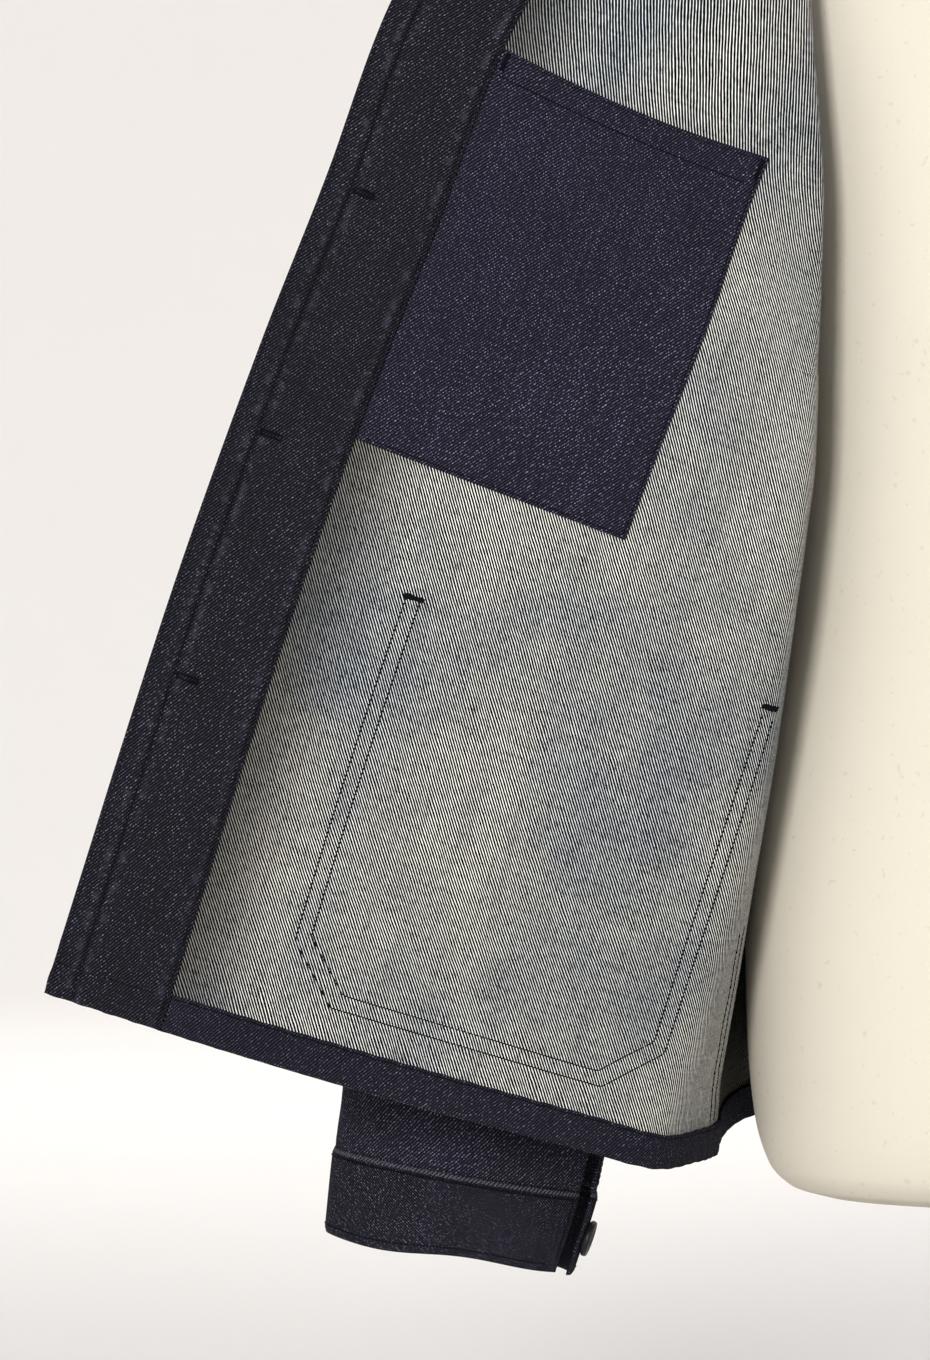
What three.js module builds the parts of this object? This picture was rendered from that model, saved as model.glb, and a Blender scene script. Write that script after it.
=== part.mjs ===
// Chore jacket of dark denim on a smooth limbless dress form with a plain stand.
// Millimetres, Z up. The origin is the centre of the stand's underside. The form faces -Y,
// and the wearer's right is -X. The right front is swung open, so its inside faces -Y.
import * as THREE from 'three';

// Driving dimensions
const STAND_LIFT = 160; // floor to the underside of the form
const CLOTH = 1.5; // thickness of the denim
const SEAM = 0.3; // gap between pieces that meet or lie on each other
const CUFF_CLOTH = 2.5;
const COLLAR_CLOTH = 2;
const HEM_TURN = 16; // height of the turned-up hem
const FRONT_LENGTH = 540; // front edge, hem to neck
const UNDERARM_HEIGHT = 398;
const UNDERARM_SHARE = 0.615; // share of a panel's rows that lie below the underarm
const SHOULDER_SHARE = 0.916; // share of a panel's rows that lie below the shoulder's tip
const LEVEL_BREAK = 376; // height up the front edge of the row that meets the underarm
const ARMHOLE_ANGLE = THREE.MathUtils.degToRad(31);
const LEFT_EDGE_ANGLE = THREE.MathUtils.degToRad(95);
const BODY_POWER = 2.2; // squareness of the body's sections
const NECK_SHIFT = 35; // how far the open side's shoulder is pulled outwards at the neck
const FACING_WIDTH = 53;
const BUTTON_SPACING = 112.5;
const LOWEST_BUTTON = 149;
const BUTTON_DIAMETER = 17;
const BUTTON_THICKNESS = 3;
const HOLE_DIAMETER = 1.8;
const HOLE_SPACING = 3.4;
const INNER_POCKET = { left: FACING_WIDTH + SEAM, right: 179, bottom: 273, top: 456, sag: 4, gape: 2 };
const HIP_POCKET = { left: 96, right: 271, bottom: 28, top: 216, corner: 24, slant: 7 };
const LEFT_HIP_POCKET = { left: 3, right: 11 }; // in columns of the left front
const VENT_ANGLE = THREE.MathUtils.degToRad(7.5); // half the vent's opening at the cuff
const SEAM_DRIFT = THREE.MathUtils.degToRad(22.5); // how far the sleeve seam turns to the front
const CUFF_STEP = 1; // the cuff stands this far proud of the sleeve
const BASE_DIAMETER = 320;
const BASE_HEIGHT = 20;
const POLE_DIAMETER = 28;

// Half-width and half-depths of the closed jacket at each height above the form's underside
const BODY = [
  { z: 10, wide: 189, front: 139, back: 131 },
  { z: 100, wide: 183, front: 137, back: 131 },
  { z: 200, wide: 180, front: 136, back: 131 },
  { z: 300, wide: 181, front: 138, back: 133 },
  { z: 398, wide: 186, front: 140, back: 135 },
  { z: 490, wide: 199, front: 133, back: 131 },
  { z: 550, wide: 216, front: 121, back: 119 },
  { z: 582, wide: 219, front: 107, back: 107 },
  { z: 600, wide: 170, front: 88, back: 93 },
  { z: 612, wide: 137, front: 74, back: 84 },
  { z: 623, wide: 108, front: 59, back: 76 },
  { z: 633, wide: 82, front: 42, back: 69 },
  { z: 640, wide: 74, front: 30, back: 65 },
];

// Height of the neckline and of the hem, by the angle from the side towards front or back
const NECKLINE = [
  { angle: 0, front: 633, back: 633 },
  { angle: 20, front: 631, back: 634 },
  { angle: 45, front: 623, back: 637 },
  { angle: 60, front: 612, back: 638 },
  { angle: 72, front: 600, back: 639 },
  { angle: 80, front: 579, back: 639 },
  { angle: 85, front: 568, back: 639 },
  { angle: 90, front: 566, back: 639 },
];
const HEM = [
  { angle: 0, front: 18, back: 18 },
  { angle: 30, front: 22, back: 31 },
  { angle: 90, front: 28, back: 34 },
];

// The open front, a row for each height up its front edge: where the edge lies, where the
// cloth folds back towards the side seam, the size of that turn, and how the row bows
const OPEN_FRONT = [
  {
    v: 0, edgeX: -485, edgeY: -130, edgeZ: 100, foldX: -223, foldY: -95, foldZ: 21,
    turn: 20, swell: 6, bow: -4, sag: 2,
  },
  {
    v: 50, edgeX: -470, edgeY: -130, edgeZ: 148, foldX: -205, foldY: -88, foldZ: 66,
    turn: 22, swell: 8, bow: 0, sag: 0,
  },
  {
    v: 120, edgeX: -449, edgeY: -130, edgeZ: 215, foldX: -187, foldY: -94, foldZ: 127,
    turn: 20, swell: 9, bow: 4, sag: 0,
  },
  {
    v: 200, edgeX: -424, edgeY: -130, edgeZ: 291, foldX: -170, foldY: -98, foldZ: 203,
    turn: 19, swell: 9, bow: 2, sag: 0,
  },
  {
    v: 300, edgeX: -390, edgeY: -130, edgeZ: 385, foldX: -156, foldY: -100, foldZ: 295,
    turn: 19, swell: 9, bow: -3, sag: 0,
  },
  {
    v: 376, edgeX: -362, edgeY: -130, edgeZ: 456, foldX: -147, foldY: -100, foldZ: 369,
    turn: 19, swell: 9, bow: -4, sag: 0,
  },
  {
    v: 450, edgeX: -337, edgeY: -130, edgeZ: 525, foldX: -146, foldY: -101, foldZ: 446,
    turn: 18, swell: 9, bow: -2, sag: 0,
  },
  {
    v: 480, edgeX: -323, edgeY: -129, edgeZ: 551, foldX: -148, foldY: -99, foldZ: 502,
    turn: 17, swell: 8, bow: 0, sag: 2,
  },
  {
    v: 500, edgeX: -310, edgeY: -127, edgeZ: 567, foldX: -149, foldY: -90, foldZ: 543,
    turn: 15, swell: 7, bow: 0, sag: 5,
  },
  {
    v: 520, edgeX: -294, edgeY: -123, edgeZ: 580, foldX: -139, foldY: -62, foldZ: 594,
    turn: 12, swell: 5, bow: 0, sag: 9,
  },
  {
    v: 540, edgeX: -274, edgeY: -116, edgeZ: 592, foldX: -123, foldY: -14, foldZ: 634,
    turn: 8, swell: 1, bow: 0, sag: 14,
  },
];

// The right sleeve, a row for each ring below the armhole: its outer and inner points seen
// from the front, how far back its middle lies, and its half-depth
const SLEEVE = [
  { t: 0.06, outX: -249, outZ: 566, inX: -191, inZ: 384, midY: 3, deep: 79 },
  { t: 0.15, outX: -279, outZ: 527, inX: -196, inZ: 356, midY: 4, deep: 77 },
  { t: 0.26, outX: -298, outZ: 461, inX: -200, inZ: 322, midY: 6, deep: 70 },
  { t: 0.4, outX: -311, outZ: 374, inX: -205, inZ: 286, midY: 8, deep: 61 },
  { t: 0.57, outX: -325, outZ: 287, inX: -211, inZ: 231, midY: 11, deep: 54 },
  { t: 0.78, outX: -342, outZ: 165, inX: -221, inZ: 127, midY: 15, deep: 47 },
  { t: 0.92, outX: -355, outZ: 66, inX: -233, inZ: 42, midY: 18, deep: 41 },
  { t: 1, outX: -362, outZ: 20, inX: -241, inZ: -1, midY: 20, deep: 37 },
  { t: 1.08, outX: -366, outZ: -19, inX: -253, inZ: -38, midY: 21, deep: 36 },
];

// The collar along the neckline, from the left front round the back to the open front:
// its length across, how it starts from upright, and how far it rolls over
const COLLAR = [
  { along: 0, length: 100, lean: 10, roll: 146 },
  { along: 0.14, length: 96, lean: 8, roll: 132 },
  { along: 0.27, length: 94, lean: 5, roll: 122 },
  { along: 0.38, length: 93, lean: 4, roll: 140 },
  { along: 0.48, length: 93, lean: 4, roll: 158 },
  { along: 0.58, length: 93, lean: 4, roll: 142 },
  { along: 0.68, length: 93, lean: 2, roll: 116 },
  { along: 0.8, length: 94, lean: -6, roll: 60 },
  { along: 1, length: 98, lean: -8, roll: 22 },
];

// Half-width and half-depths of the dress form at each height above its underside
const FORM = [
  { z: 0, wide: 138, front: 84, back: 84 },
  { z: 4, wide: 152, front: 96, back: 96 },
  { z: 14, wide: 162, front: 105, back: 107 },
  { z: 35, wide: 168.5, front: 111, back: 114 },
  { z: 70, wide: 172, front: 114, back: 118 },
  { z: 110, wide: 173, front: 115, back: 119 },
  { z: 160, wide: 170, front: 113, back: 116 },
  { z: 215, wide: 162, front: 109, back: 109 },
  { z: 275, wide: 153, front: 105, back: 101 },
  { z: 340, wide: 148, front: 105, back: 97 },
  { z: 420, wide: 154, front: 111, back: 103 },
  { z: 480, wide: 162, front: 112, back: 108 },
  { z: 530, wide: 171, front: 104, back: 106 },
  { z: 560, wide: 176, front: 94, back: 99 },
  { z: 578, wide: 174, front: 85, back: 91 },
  { z: 594, wide: 159, front: 77, back: 84 },
  { z: 606, wide: 137, front: 72, back: 80 },
  { z: 617, wide: 106, front: 67, back: 74.5 },
  { z: 629, wide: 78.2, front: 62, back: 66.4 },
  { z: 644, wide: 65.6, front: 57.8, back: 61.4 },
  { z: 690, wide: 60, front: 56, back: 56 },
];

// Helpers

// One column of a table at a place between its rows, on a smooth curve that never overshoots.
function read(table, key, column, at) {
  const last = table.length - 1;
  let i = 0;
  while (i < last - 1 && at > table[i + 1][key]) i += 1;
  const rise = (j) => (table[j + 1][column] - table[j][column]) / (table[j + 1][key] - table[j][key]);
  const slope = (j) => {
    if (j === 0) return rise(0);
    if (j === last) return rise(last - 1);
    const before = rise(j - 1);
    const after = rise(j);
    return before * after <= 0 ? 0 : (2 * before * after) / (before + after);
  };
  const span = table[i + 1][key] - table[i][key];
  const t = THREE.MathUtils.clamp((at - table[i][key]) / span, 0, 1);
  const start = table[i][column];
  const end = table[i + 1][column];
  const cubic = (2 * t ** 3 - 3 * t ** 2 + 1) * start + (3 * t ** 2 - 2 * t ** 3) * end;
  return cubic + span * ((t ** 3 - 2 * t ** 2 + t) * slope(i) + (t ** 3 - t ** 2) * slope(i + 1));
}

const vector = (x, y, z) => new THREE.Vector3(x, y, z);
const mix = THREE.MathUtils.lerp;

// A closed body from vertices and triangles, turned so that its faces point outwards.
function closedBody(vertices, triangles) {
  let volume = 0;
  for (const [a, b, c] of triangles) {
    volume += vertices[a].dot(vertices[b].clone().cross(vertices[c]));
  }
  const geometry = new THREE.BufferGeometry();
  const index = triangles.flatMap(([a, b, c]) => (volume > 0 ? [a, b, c] : [a, c, b]));
  geometry.setAttribute(
    'position',
    new THREE.Float32BufferAttribute(vertices.flatMap((p) => [p.x, p.y, p.z]), 3),
  );
  geometry.setIndex(index);
  geometry.computeVertexNormals();
  return geometry;
}

// A wall between an outer and an inner grid of points, closed round its four edges.
function wallBetween(columns, rows, outer, inner) {
  const vertices = [];
  for (const side of [outer, inner]) {
    for (let j = 0; j <= rows; j += 1) {
      for (let i = 0; i <= columns; i += 1) vertices.push(side(i, j));
    }
  }
  const layer = (columns + 1) * (rows + 1);
  const at = (i, j, side) => side * layer + j * (columns + 1) + i;
  const triangles = [];
  const quad = (a, b, c, d) => triangles.push([a, b, c], [a, c, d]);
  for (let j = 0; j < rows; j += 1) {
    for (let i = 0; i < columns; i += 1) {
      quad(at(i, j, 0), at(i + 1, j, 0), at(i + 1, j + 1, 0), at(i, j + 1, 0));
      quad(at(i, j, 1), at(i, j + 1, 1), at(i + 1, j + 1, 1), at(i + 1, j, 1));
    }
    quad(at(0, j, 0), at(0, j + 1, 0), at(0, j + 1, 1), at(0, j, 1));
    quad(at(columns, j, 0), at(columns, j, 1), at(columns, j + 1, 1), at(columns, j + 1, 0));
  }
  for (let i = 0; i < columns; i += 1) {
    quad(at(i, 0, 0), at(i, 0, 1), at(i + 1, 0, 1), at(i + 1, 0, 0));
    quad(at(i, rows, 0), at(i + 1, rows, 0), at(i + 1, rows, 1), at(i, rows, 1));
  }
  return closedBody(vertices, triangles);
}

// A wall on a surface: surface(i, j) gives a point and its outward normal, and the wall
// fills the space between two distances from it along that normal.
function wallOn(columns, rows, surface, high, low) {
  const shifted = (distance) => (i, j) => {
    const { point, normal } = surface(i, j);
    return point.clone().addScaledVector(normal, distance);
  };
  return wallBetween(columns, rows, shifted(high), shifted(low));
}

// The outward normal of a surface of two shares, from its neighbours on each side.
function normalOf(place, s, b, facing) {
  const step = 0.004;
  const across = place(Math.min(s + step, 1), b).sub(place(Math.max(s - step, 0), b));
  const up = place(s, Math.min(b + step, 1)).sub(place(s, Math.max(b - step, 0)));
  return across.cross(up).normalize().multiplyScalar(facing);
}

// The closed jacket's surface

// The angle from the nearer side towards front or back, in degrees.
function sideAngle(theta) {
  return THREE.MathUtils.radToDeg(Math.asin(Math.min(1, Math.abs(Math.sin(theta)))));
}

// A point at an angle round the body, 0 at the wearer's left and a quarter turn at the back,
// and at a share of the height from the hem to the neckline.
function bodyPoint(theta, share) {
  const side = Math.sin(theta) < 0 ? 'front' : 'back';
  const angle = sideAngle(theta);
  const low = read(HEM, 'angle', side, angle);
  const high = read(NECKLINE, 'angle', side, angle);
  const z = share <= UNDERARM_SHARE
    ? mix(low, UNDERARM_HEIGHT, share / UNDERARM_SHARE)
    : mix(UNDERARM_HEIGHT, high, (share - UNDERARM_SHARE) / (1 - UNDERARM_SHARE));
  const cosine = Math.cos(theta);
  const sine = Math.sin(theta);
  const pull = cosine < 0 ? NECK_SHIFT * THREE.MathUtils.smoothstep(z, 560, 633) : 0;
  const wide = read(BODY, 'z', 'wide', z) + pull;
  const deep = read(BODY, 'z', side, z);
  return vector(
    wide * Math.sign(cosine) * Math.abs(cosine) ** (2 / BODY_POWER),
    deep * Math.sign(sine) * Math.abs(sine) ** (2 / BODY_POWER),
    z,
  );
}

// How far the armhole reaches from the side at a share of the height.
function armholeReach(share) {
  const middle = (UNDERARM_SHARE + SHOULDER_SHARE) / 2;
  const half = (SHOULDER_SHARE - UNDERARM_SHARE) / 2;
  const offset = (share - middle) / half;
  return Math.abs(offset) < 1 ? ARMHOLE_ANGLE * Math.sqrt(1 - offset ** 2) : 0;
}

// A point of an armhole: turn 0 is the shoulder's tip, a quarter the front, a half the underarm.
function armholePoint(right, turn) {
  const middle = (UNDERARM_SHARE + SHOULDER_SHARE) / 2;
  const half = (SHOULDER_SHARE - UNDERARM_SHARE) / 2;
  const share = middle + half * Math.cos(turn);
  const reach = ARMHOLE_ANGLE * Math.sin(turn);
  return bodyPoint(right ? Math.PI + reach : -reach, share);
}

// The direction in which both the body and the sleeve are thickened along the armhole.
function armholeNormal(right, turn) {
  const outwards = right ? -1 : 1;
  return vector(0.5 * outwards, -Math.sin(turn), Math.cos(turn)).normalize();
}

// The share of each row of a panel. Rows meet the hem turn, the pockets' edges, the
// underarm and the shoulder's tip, and lie round the armhole as the sleeve's columns do.
const ARMHOLE_ROWS = 10;
const ROWS_ABOVE = 3;
const ROW_HEIGHTS = [
  0, HEM_TURN, HIP_POCKET.bottom, HIP_POCKET.bottom + HIP_POCKET.corner, 96, 136, 176,
  HIP_POCKET.top, 245, INNER_POCKET.bottom, 308, 342,
];
function rowShares() {
  const shares = ROW_HEIGHTS.map(edgeShare);
  for (let j = 0; j < ARMHOLE_ROWS; j += 1) {
    const turn = Math.PI * (1 - j / ARMHOLE_ROWS);
    const middle = (UNDERARM_SHARE + SHOULDER_SHARE) / 2;
    shares.push(middle + ((SHOULDER_SHARE - UNDERARM_SHARE) / 2) * Math.cos(turn));
  }
  for (let j = 0; j <= ROWS_ABOVE; j += 1) shares.push(mix(SHOULDER_SHARE, 1, j / ROWS_ABOVE));
  return shares;
}
const BODY_ROWS = rowShares();

// The normal along a panel's side: the body's own at the side and shoulder seams, and the
// shared one along the armhole.
function sideNormal(right, front, share) {
  const theta = right ? Math.PI : 0;
  if (share < UNDERARM_SHARE - 1e-6 || share > SHOULDER_SHARE + 1e-6) {
    const step = 0.004;
    const below = bodyPoint(theta, share - step * (share > step));
    const up = bodyPoint(theta, Math.min(share + step, 1)).sub(below);
    return vector(up.z, 0, -up.x).multiplyScalar(right ? -1 : 1).normalize();
  }
  const middle = (UNDERARM_SHARE + SHOULDER_SHARE) / 2;
  const half = (SHOULDER_SHARE - UNDERARM_SHARE) / 2;
  const turn = Math.acos(THREE.MathUtils.clamp((share - middle) / half, -1, 1));
  return armholeNormal(right, front ? turn : -turn);
}

// Panels: each has place(s, share), which runs across the panel and up it, and a normal

const leftFront = {
  place(s, share) {
    const seam = -armholeReach(share);
    const point = bodyPoint(mix(-LEFT_EDGE_ANGLE, seam, s), share);
    if (s > 0.999) point.y -= SEAM / 2;
    return point;
  },
  normal(s, share) {
    if (s > 0.999) return sideNormal(false, true, share);
    return normalOf(leftFront.place, s, share, 1);
  },
};

// The back runs from the wearer's right side to the left.
const back = {
  place(s, share) {
    const reach = armholeReach(share);
    const point = bodyPoint(mix(Math.PI - reach, reach, s), share);
    if (s < 0.001 || s > 0.999) point.y += SEAM / 2;
    return point;
  },
  normal(s, share) {
    if (s < 0.001) return sideNormal(true, false, share);
    if (s > 0.999) return sideNormal(false, false, share);
    return normalOf(back.place, s, share, -1);
  },
};

// The height up the open front's edge for a row's share, and back.
function edgeHeight(share) {
  if (share <= UNDERARM_SHARE) return (LEVEL_BREAK * share) / UNDERARM_SHARE;
  return mix(LEVEL_BREAK, FRONT_LENGTH, (share - UNDERARM_SHARE) / (1 - UNDERARM_SHARE));
}
function edgeShare(height) {
  if (height <= LEVEL_BREAK) return (height / LEVEL_BREAK) * UNDERARM_SHARE;
  return mix(UNDERARM_SHARE, 1, (height - LEVEL_BREAK) / (FRONT_LENGTH - LEVEL_BREAK));
}

// The row of the open front at a share, as a curve from the front edge round the fold to
// the side seam or armhole.
function openRow(share) {
  const v = edgeHeight(share);
  const at = (column) => read(OPEN_FRONT, 'v', column, v);
  const edge = vector(at('edgeX'), at('edgeY'), at('edgeZ'));
  const fold = vector(at('foldX'), at('foldY'), at('foldZ'));
  const seam = bodyPoint(Math.PI + armholeReach(share), share);
  seam.y -= SEAM / 2;
  const turn = at('turn');
  const flat = fold.clone().sub(edge);
  flat.setLength(flat.length() - 1.6 * turn).add(edge);
  flat.y -= 0.4 * turn;
  const behind = fold.clone().lerp(seam, 0.5);
  behind.x += at('swell');
  const between = (share3) => {
    const point = edge.clone().lerp(flat, share3);
    point.y += at('bow');
    point.z -= at('sag');
    return point;
  };
  const points = [edge, between(1 / 3), between(2 / 3), flat, fold, behind, seam];
  const curve = new THREE.CatmullRomCurve3(points, false, 'centripetal');
  curve.arcLengthDivisions = 120;
  return curve;
}

const rowCache = new Map();
function cachedRow(share) {
  const key = share.toFixed(6);
  if (!rowCache.has(key)) rowCache.set(key, openRow(share));
  return rowCache.get(key);
}

const rightFront = {
  place(s, share) {
    return cachedRow(share).getPointAt(THREE.MathUtils.clamp(s, 0, 1));
  },
  normal(s, share) {
    if (s > 0.999) return sideNormal(true, true, share);
    return normalOf(rightFront.place, s, share, -1);
  },
  // The share across a row at a distance from the front edge.
  across(distance, share) {
    return distance / cachedRow(share).getLength();
  },
};

function pointOn(panel, s, share) {
  return { point: panel.place(s, share), normal: panel.normal(s, share) };
}

// A panel's grid: spread(i, share) is the share across of each column.
function gridOf(panel, columns, spread) {
  const cells = BODY_ROWS.map((share) => {
    const row = [];
    for (let i = 0; i <= columns; i += 1) row.push(pointOn(panel, spread(i, share), share));
    return row;
  });
  return { columns, cells };
}

// A point and normal on a grid's own flat cells, at a place counted in columns and rows.
function onGrid(grid, column, row) {
  const i = Math.min(Math.floor(column), grid.columns - 1);
  const j = Math.min(Math.floor(row), grid.cells.length - 2);
  const blend = (key) => {
    const low = grid.cells[j][i][key].clone().lerp(grid.cells[j][i + 1][key], column - i);
    const above = grid.cells[j + 1];
    const high = above[i][key].clone().lerp(above[i + 1][key], column - i);
    return low.lerp(high, row - j);
  };
  return { point: blend('point'), normal: blend('normal').normalize() };
}

// The whole numbers between two places, with the places themselves at the ends.
function linesBetween(start, end) {
  const lines = [start];
  for (let k = Math.floor(start) + 1; k < end - 1e-6; k += 1) lines.push(k);
  lines.push(end);
  return lines;
}

// A layer of cloth on part of a grid, between two distances along its normals.
function layerOn(grid, columnRange, rowRange, high, low) {
  const columns = linesBetween(...columnRange);
  const rows = linesBetween(...rowRange);
  const surface = (i, j) => onGrid(grid, columns[i], rows[j]);
  return wallOn(columns.length - 1, rows.length - 1, surface, high, low);
}

// Pieces of cloth

const mainPieces = [];
function addPiece(name, geometry, material) {
  const mesh = new THREE.Mesh(geometry, material);
  mesh.name = name;
  mainPieces.push(mesh);
  return mesh;
}

function finish(color, roughness, metalness) {
  return new THREE.MeshStandardMaterial({ color, roughness, metalness });
}
const denimReverse = finish('#7d7f83', 0.95, 0);
const denimFace = finish('#29293a', 0.9, 0);
const formCover = finish('#e6dfcd', 0.85, 0);
const buttonHorn = finish('#1d1d22', 0.35, 0);
const paintedSteel = finish('#d9d6cf', 0.45, 0.3);

const TOP_ROW = BODY_ROWS.length - 1;
const rowAt = (height) => {
  const share = edgeShare(height);
  let j = 0;
  while (j < TOP_ROW - 1 && BODY_ROWS[j + 1] < share) j += 1;
  return j + (share - BODY_ROWS[j]) / (BODY_ROWS[j + 1] - BODY_ROWS[j]);
};

// Columns of the open front, as distances from its edge and then as shares of the rest
const NEAR_COLUMNS = [0, 26, FACING_WIDTH, 75, HIP_POCKET.left, 124, 152, INNER_POCKET.right];
const FAR_COLUMNS = [0.12, 0.24, 0.36, 0.46, 0.52, 0.58, 0.65, 0.73, 0.85, 1];
const FACING_COLUMN = NEAR_COLUMNS.indexOf(FACING_WIDTH);
const HIP_LEFT_COLUMN = NEAR_COLUMNS.indexOf(HIP_POCKET.left);
const INNER_RIGHT_COLUMN = NEAR_COLUMNS.length - 1;
const HIP_RIGHT_COLUMN = INNER_RIGHT_COLUMN + 4;
const OPEN_COLUMNS = NEAR_COLUMNS.length + FAR_COLUMNS.length - 1;
function openSpread(i, share) {
  if (i < NEAR_COLUMNS.length) return rightFront.across(NEAR_COLUMNS[i], share);
  const reached = rightFront.across(INNER_POCKET.right, share);
  return mix(reached, 1, FAR_COLUMNS[i - NEAR_COLUMNS.length]);
}
const LEFT_COLUMNS = 13;
const BACK_COLUMNS = 22;
const openGrid = gridOf(rightFront, OPEN_COLUMNS, openSpread);
const leftGrid = gridOf(leftFront, LEFT_COLUMNS, (i) => i / LEFT_COLUMNS);
const backGrid = gridOf(back, BACK_COLUMNS, (i) => i / BACK_COLUMNS);

const whole = (grid) => layerOn(grid, [0, grid.columns], [0, TOP_ROW], 0, -CLOTH);
addPiece('right_front', whole(openGrid), denimReverse);
addPiece('left_front', whole(leftGrid), denimFace);
addPiece('back', whole(backGrid), denimFace);

// What lies on the inside of a panel: the open front's facing, and the turned-up hems.
const INSIDE_HIGH = -CLOTH - SEAM;
const INSIDE_LOW = -2 * CLOTH - SEAM;
const HEM_ROW = ROW_HEIGHTS.indexOf(HEM_TURN);
const PART = 0.02; // share of a column that parts two pieces side by side
const inside = (grid, columns, rows) => layerOn(grid, columns, rows, INSIDE_HIGH, INSIDE_LOW);
addPiece('right_facing', inside(openGrid, [0, FACING_COLUMN], [0, TOP_ROW]), denimFace);
addPiece(
  'right_front_hem',
  inside(openGrid, [FACING_COLUMN + PART, OPEN_COLUMNS - 4 * PART], [0, HEM_ROW]),
  denimFace,
);
addPiece('back_hem', inside(backGrid, [4 * PART, BACK_COLUMNS - 4 * PART], [0, HEM_ROW]), denimFace);
addPiece('left_front_hem', inside(leftGrid, [0, LEFT_COLUMNS - 4 * PART], [0, HEM_ROW]), denimFace);

// The inner pocket: a patch whose top edge sags and gapes a little.
const pocketColumns = linesBetween(FACING_COLUMN + PART, INNER_RIGHT_COLUMN);
const pocketRows = linesBetween(rowAt(INNER_POCKET.bottom), rowAt(INNER_POCKET.top));
function innerPocketPoint(i, j, lift) {
  const k = i / (pocketColumns.length - 1);
  const up = j / (pocketRows.length - 1);
  const belly = Math.sin(Math.PI * k);
  const spot = onGrid(openGrid, pocketColumns[i], pocketRows[j]);
  spot.point.z -= INNER_POCKET.sag * belly * up ** 6;
  return spot.point.addScaledVector(spot.normal, lift - INNER_POCKET.gape * belly * up ** 3);
}
addPiece(
  'inner_pocket',
  wallBetween(
    pocketColumns.length - 1,
    pocketRows.length - 1,
    (i, j) => innerPocketPoint(i, j, INSIDE_HIGH),
    (i, j) => innerPocketPoint(i, j, INSIDE_LOW),
  ),
  denimFace,
);

// A hip pocket narrows below its clipped corners, and its mouth slants up to the side. clip is
// the corner's width in columns.
const MOUTH_GAPE = 0.4; // how far a hip pocket's mouth stands off the front
function hipPocket(name, grid, left, right, clip) {
  const columns = linesBetween(left, right);
  const pocketLines = linesBetween(rowAt(HIP_POCKET.bottom), rowAt(HIP_POCKET.top));
  const surface = (i, j) => {
    const inner = THREE.MathUtils.clamp(columns[i], left + clip, right - clip);
    const column = j === 0 ? inner : columns[i];
    if (j < pocketLines.length - 1) return onGrid(grid, column, pocketLines[j]);
    const slant = HIP_POCKET.slant * ((column - left) / (right - left));
    const mouth = onGrid(grid, column, rowAt(HIP_POCKET.top + slant));
    mouth.point.addScaledVector(mouth.normal, MOUTH_GAPE);
    return mouth;
  };
  addPiece(
    name,
    wallOn(columns.length - 1, pocketLines.length - 1, surface, SEAM + CLOTH, SEAM),
    denimFace,
  );
}
const CORNER_CLIP = 0.9;
hipPocket('right_hip_pocket', openGrid, HIP_LEFT_COLUMN, HIP_RIGHT_COLUMN, CORNER_CLIP);
hipPocket('left_hip_pocket', leftGrid, LEFT_HIP_POCKET.left, LEFT_HIP_POCKET.right, CORNER_CLIP);

// Sleeves and cuffs

// A point of a sleeve: t runs down it, q round it from the seam's rear edge to its front edge.
function sleevePoint(right, q, t) {
  const drift = SEAM_DRIFT * THREE.MathUtils.smoothstep(t, 0.1, 1);
  const vent = VENT_ANGLE * THREE.MathUtils.smoothstep(t, 0.86, 0.99);
  const start = Math.PI - drift + vent;
  const turn = start + q * (2 * Math.PI - 2 * vent);
  const first = SLEEVE[0];
  const at = (column) => read(SLEEVE, 't', column, Math.max(t, first.t));
  const cosine = Math.cos(turn);
  const middle = vector((at('outX') + at('inX')) / 2, at('midY'), (at('outZ') + at('inZ')) / 2);
  const half = vector((at('outX') - at('inX')) / 2, 0, (at('outZ') - at('inZ')) / 2);
  const point = middle.addScaledVector(half, cosine);
  point.y -= at('deep') * Math.sin(turn);
  if (t < first.t) {
    const seat = armholePoint(true, turn);
    seat.x -= SEAM;
    const k = t / first.t;
    point.lerpVectors(seat, point.clone(), k);
  }
  const fromSeam = Math.min(q, 1 - q);
  if (fromSeam < 1e-6) point.y += q < 0.5 ? SEAM / 2 : -SEAM / 2;
  if (!right) point.x *= -1;
  return point;
}

function sleeveNormal(right, q, t) {
  if (t < 1e-6) return armholeNormal(right, Math.PI + q * 2 * Math.PI);
  const step = 0.004;
  const wrap = (value) => THREE.MathUtils.clamp(value, 0.0005, 0.9995);
  const round = sleevePoint(right, wrap(q + step), t).sub(sleevePoint(right, wrap(q - step), t));
  const down = sleevePoint(right, wrap(q), t + step).sub(sleevePoint(right, wrap(q), t - step));
  return round.cross(down).normalize().multiplyScalar(right ? -1 : 1);
}

const SLEEVE_COLUMNS = 2 * ARMHOLE_ROWS;
const SLEEVE_STEPS = [0, 0.06, 0.15, 0.26, 0.4, 0.57, 0.7, 0.82, 0.91, 1];
const CUFF_STEPS = [1.001, 1.08];
for (const right of [true, false]) {
  const side = right ? 'right' : 'left';
  const surface = (steps) => (i, j) => ({
    point: sleevePoint(right, i / SLEEVE_COLUMNS, steps[j]),
    normal: sleeveNormal(right, i / SLEEVE_COLUMNS, steps[j]),
  });
  addPiece(
    `${side}_sleeve`,
    wallOn(SLEEVE_COLUMNS, SLEEVE_STEPS.length - 1, surface(SLEEVE_STEPS), 0, -CLOTH),
    denimFace,
  );
  addPiece(
    `${side}_cuff`,
    wallOn(SLEEVE_COLUMNS, 1, surface(CUFF_STEPS), CUFF_STEP, CUFF_STEP - CUFF_CLOTH),
    denimFace,
  );
}

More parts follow.
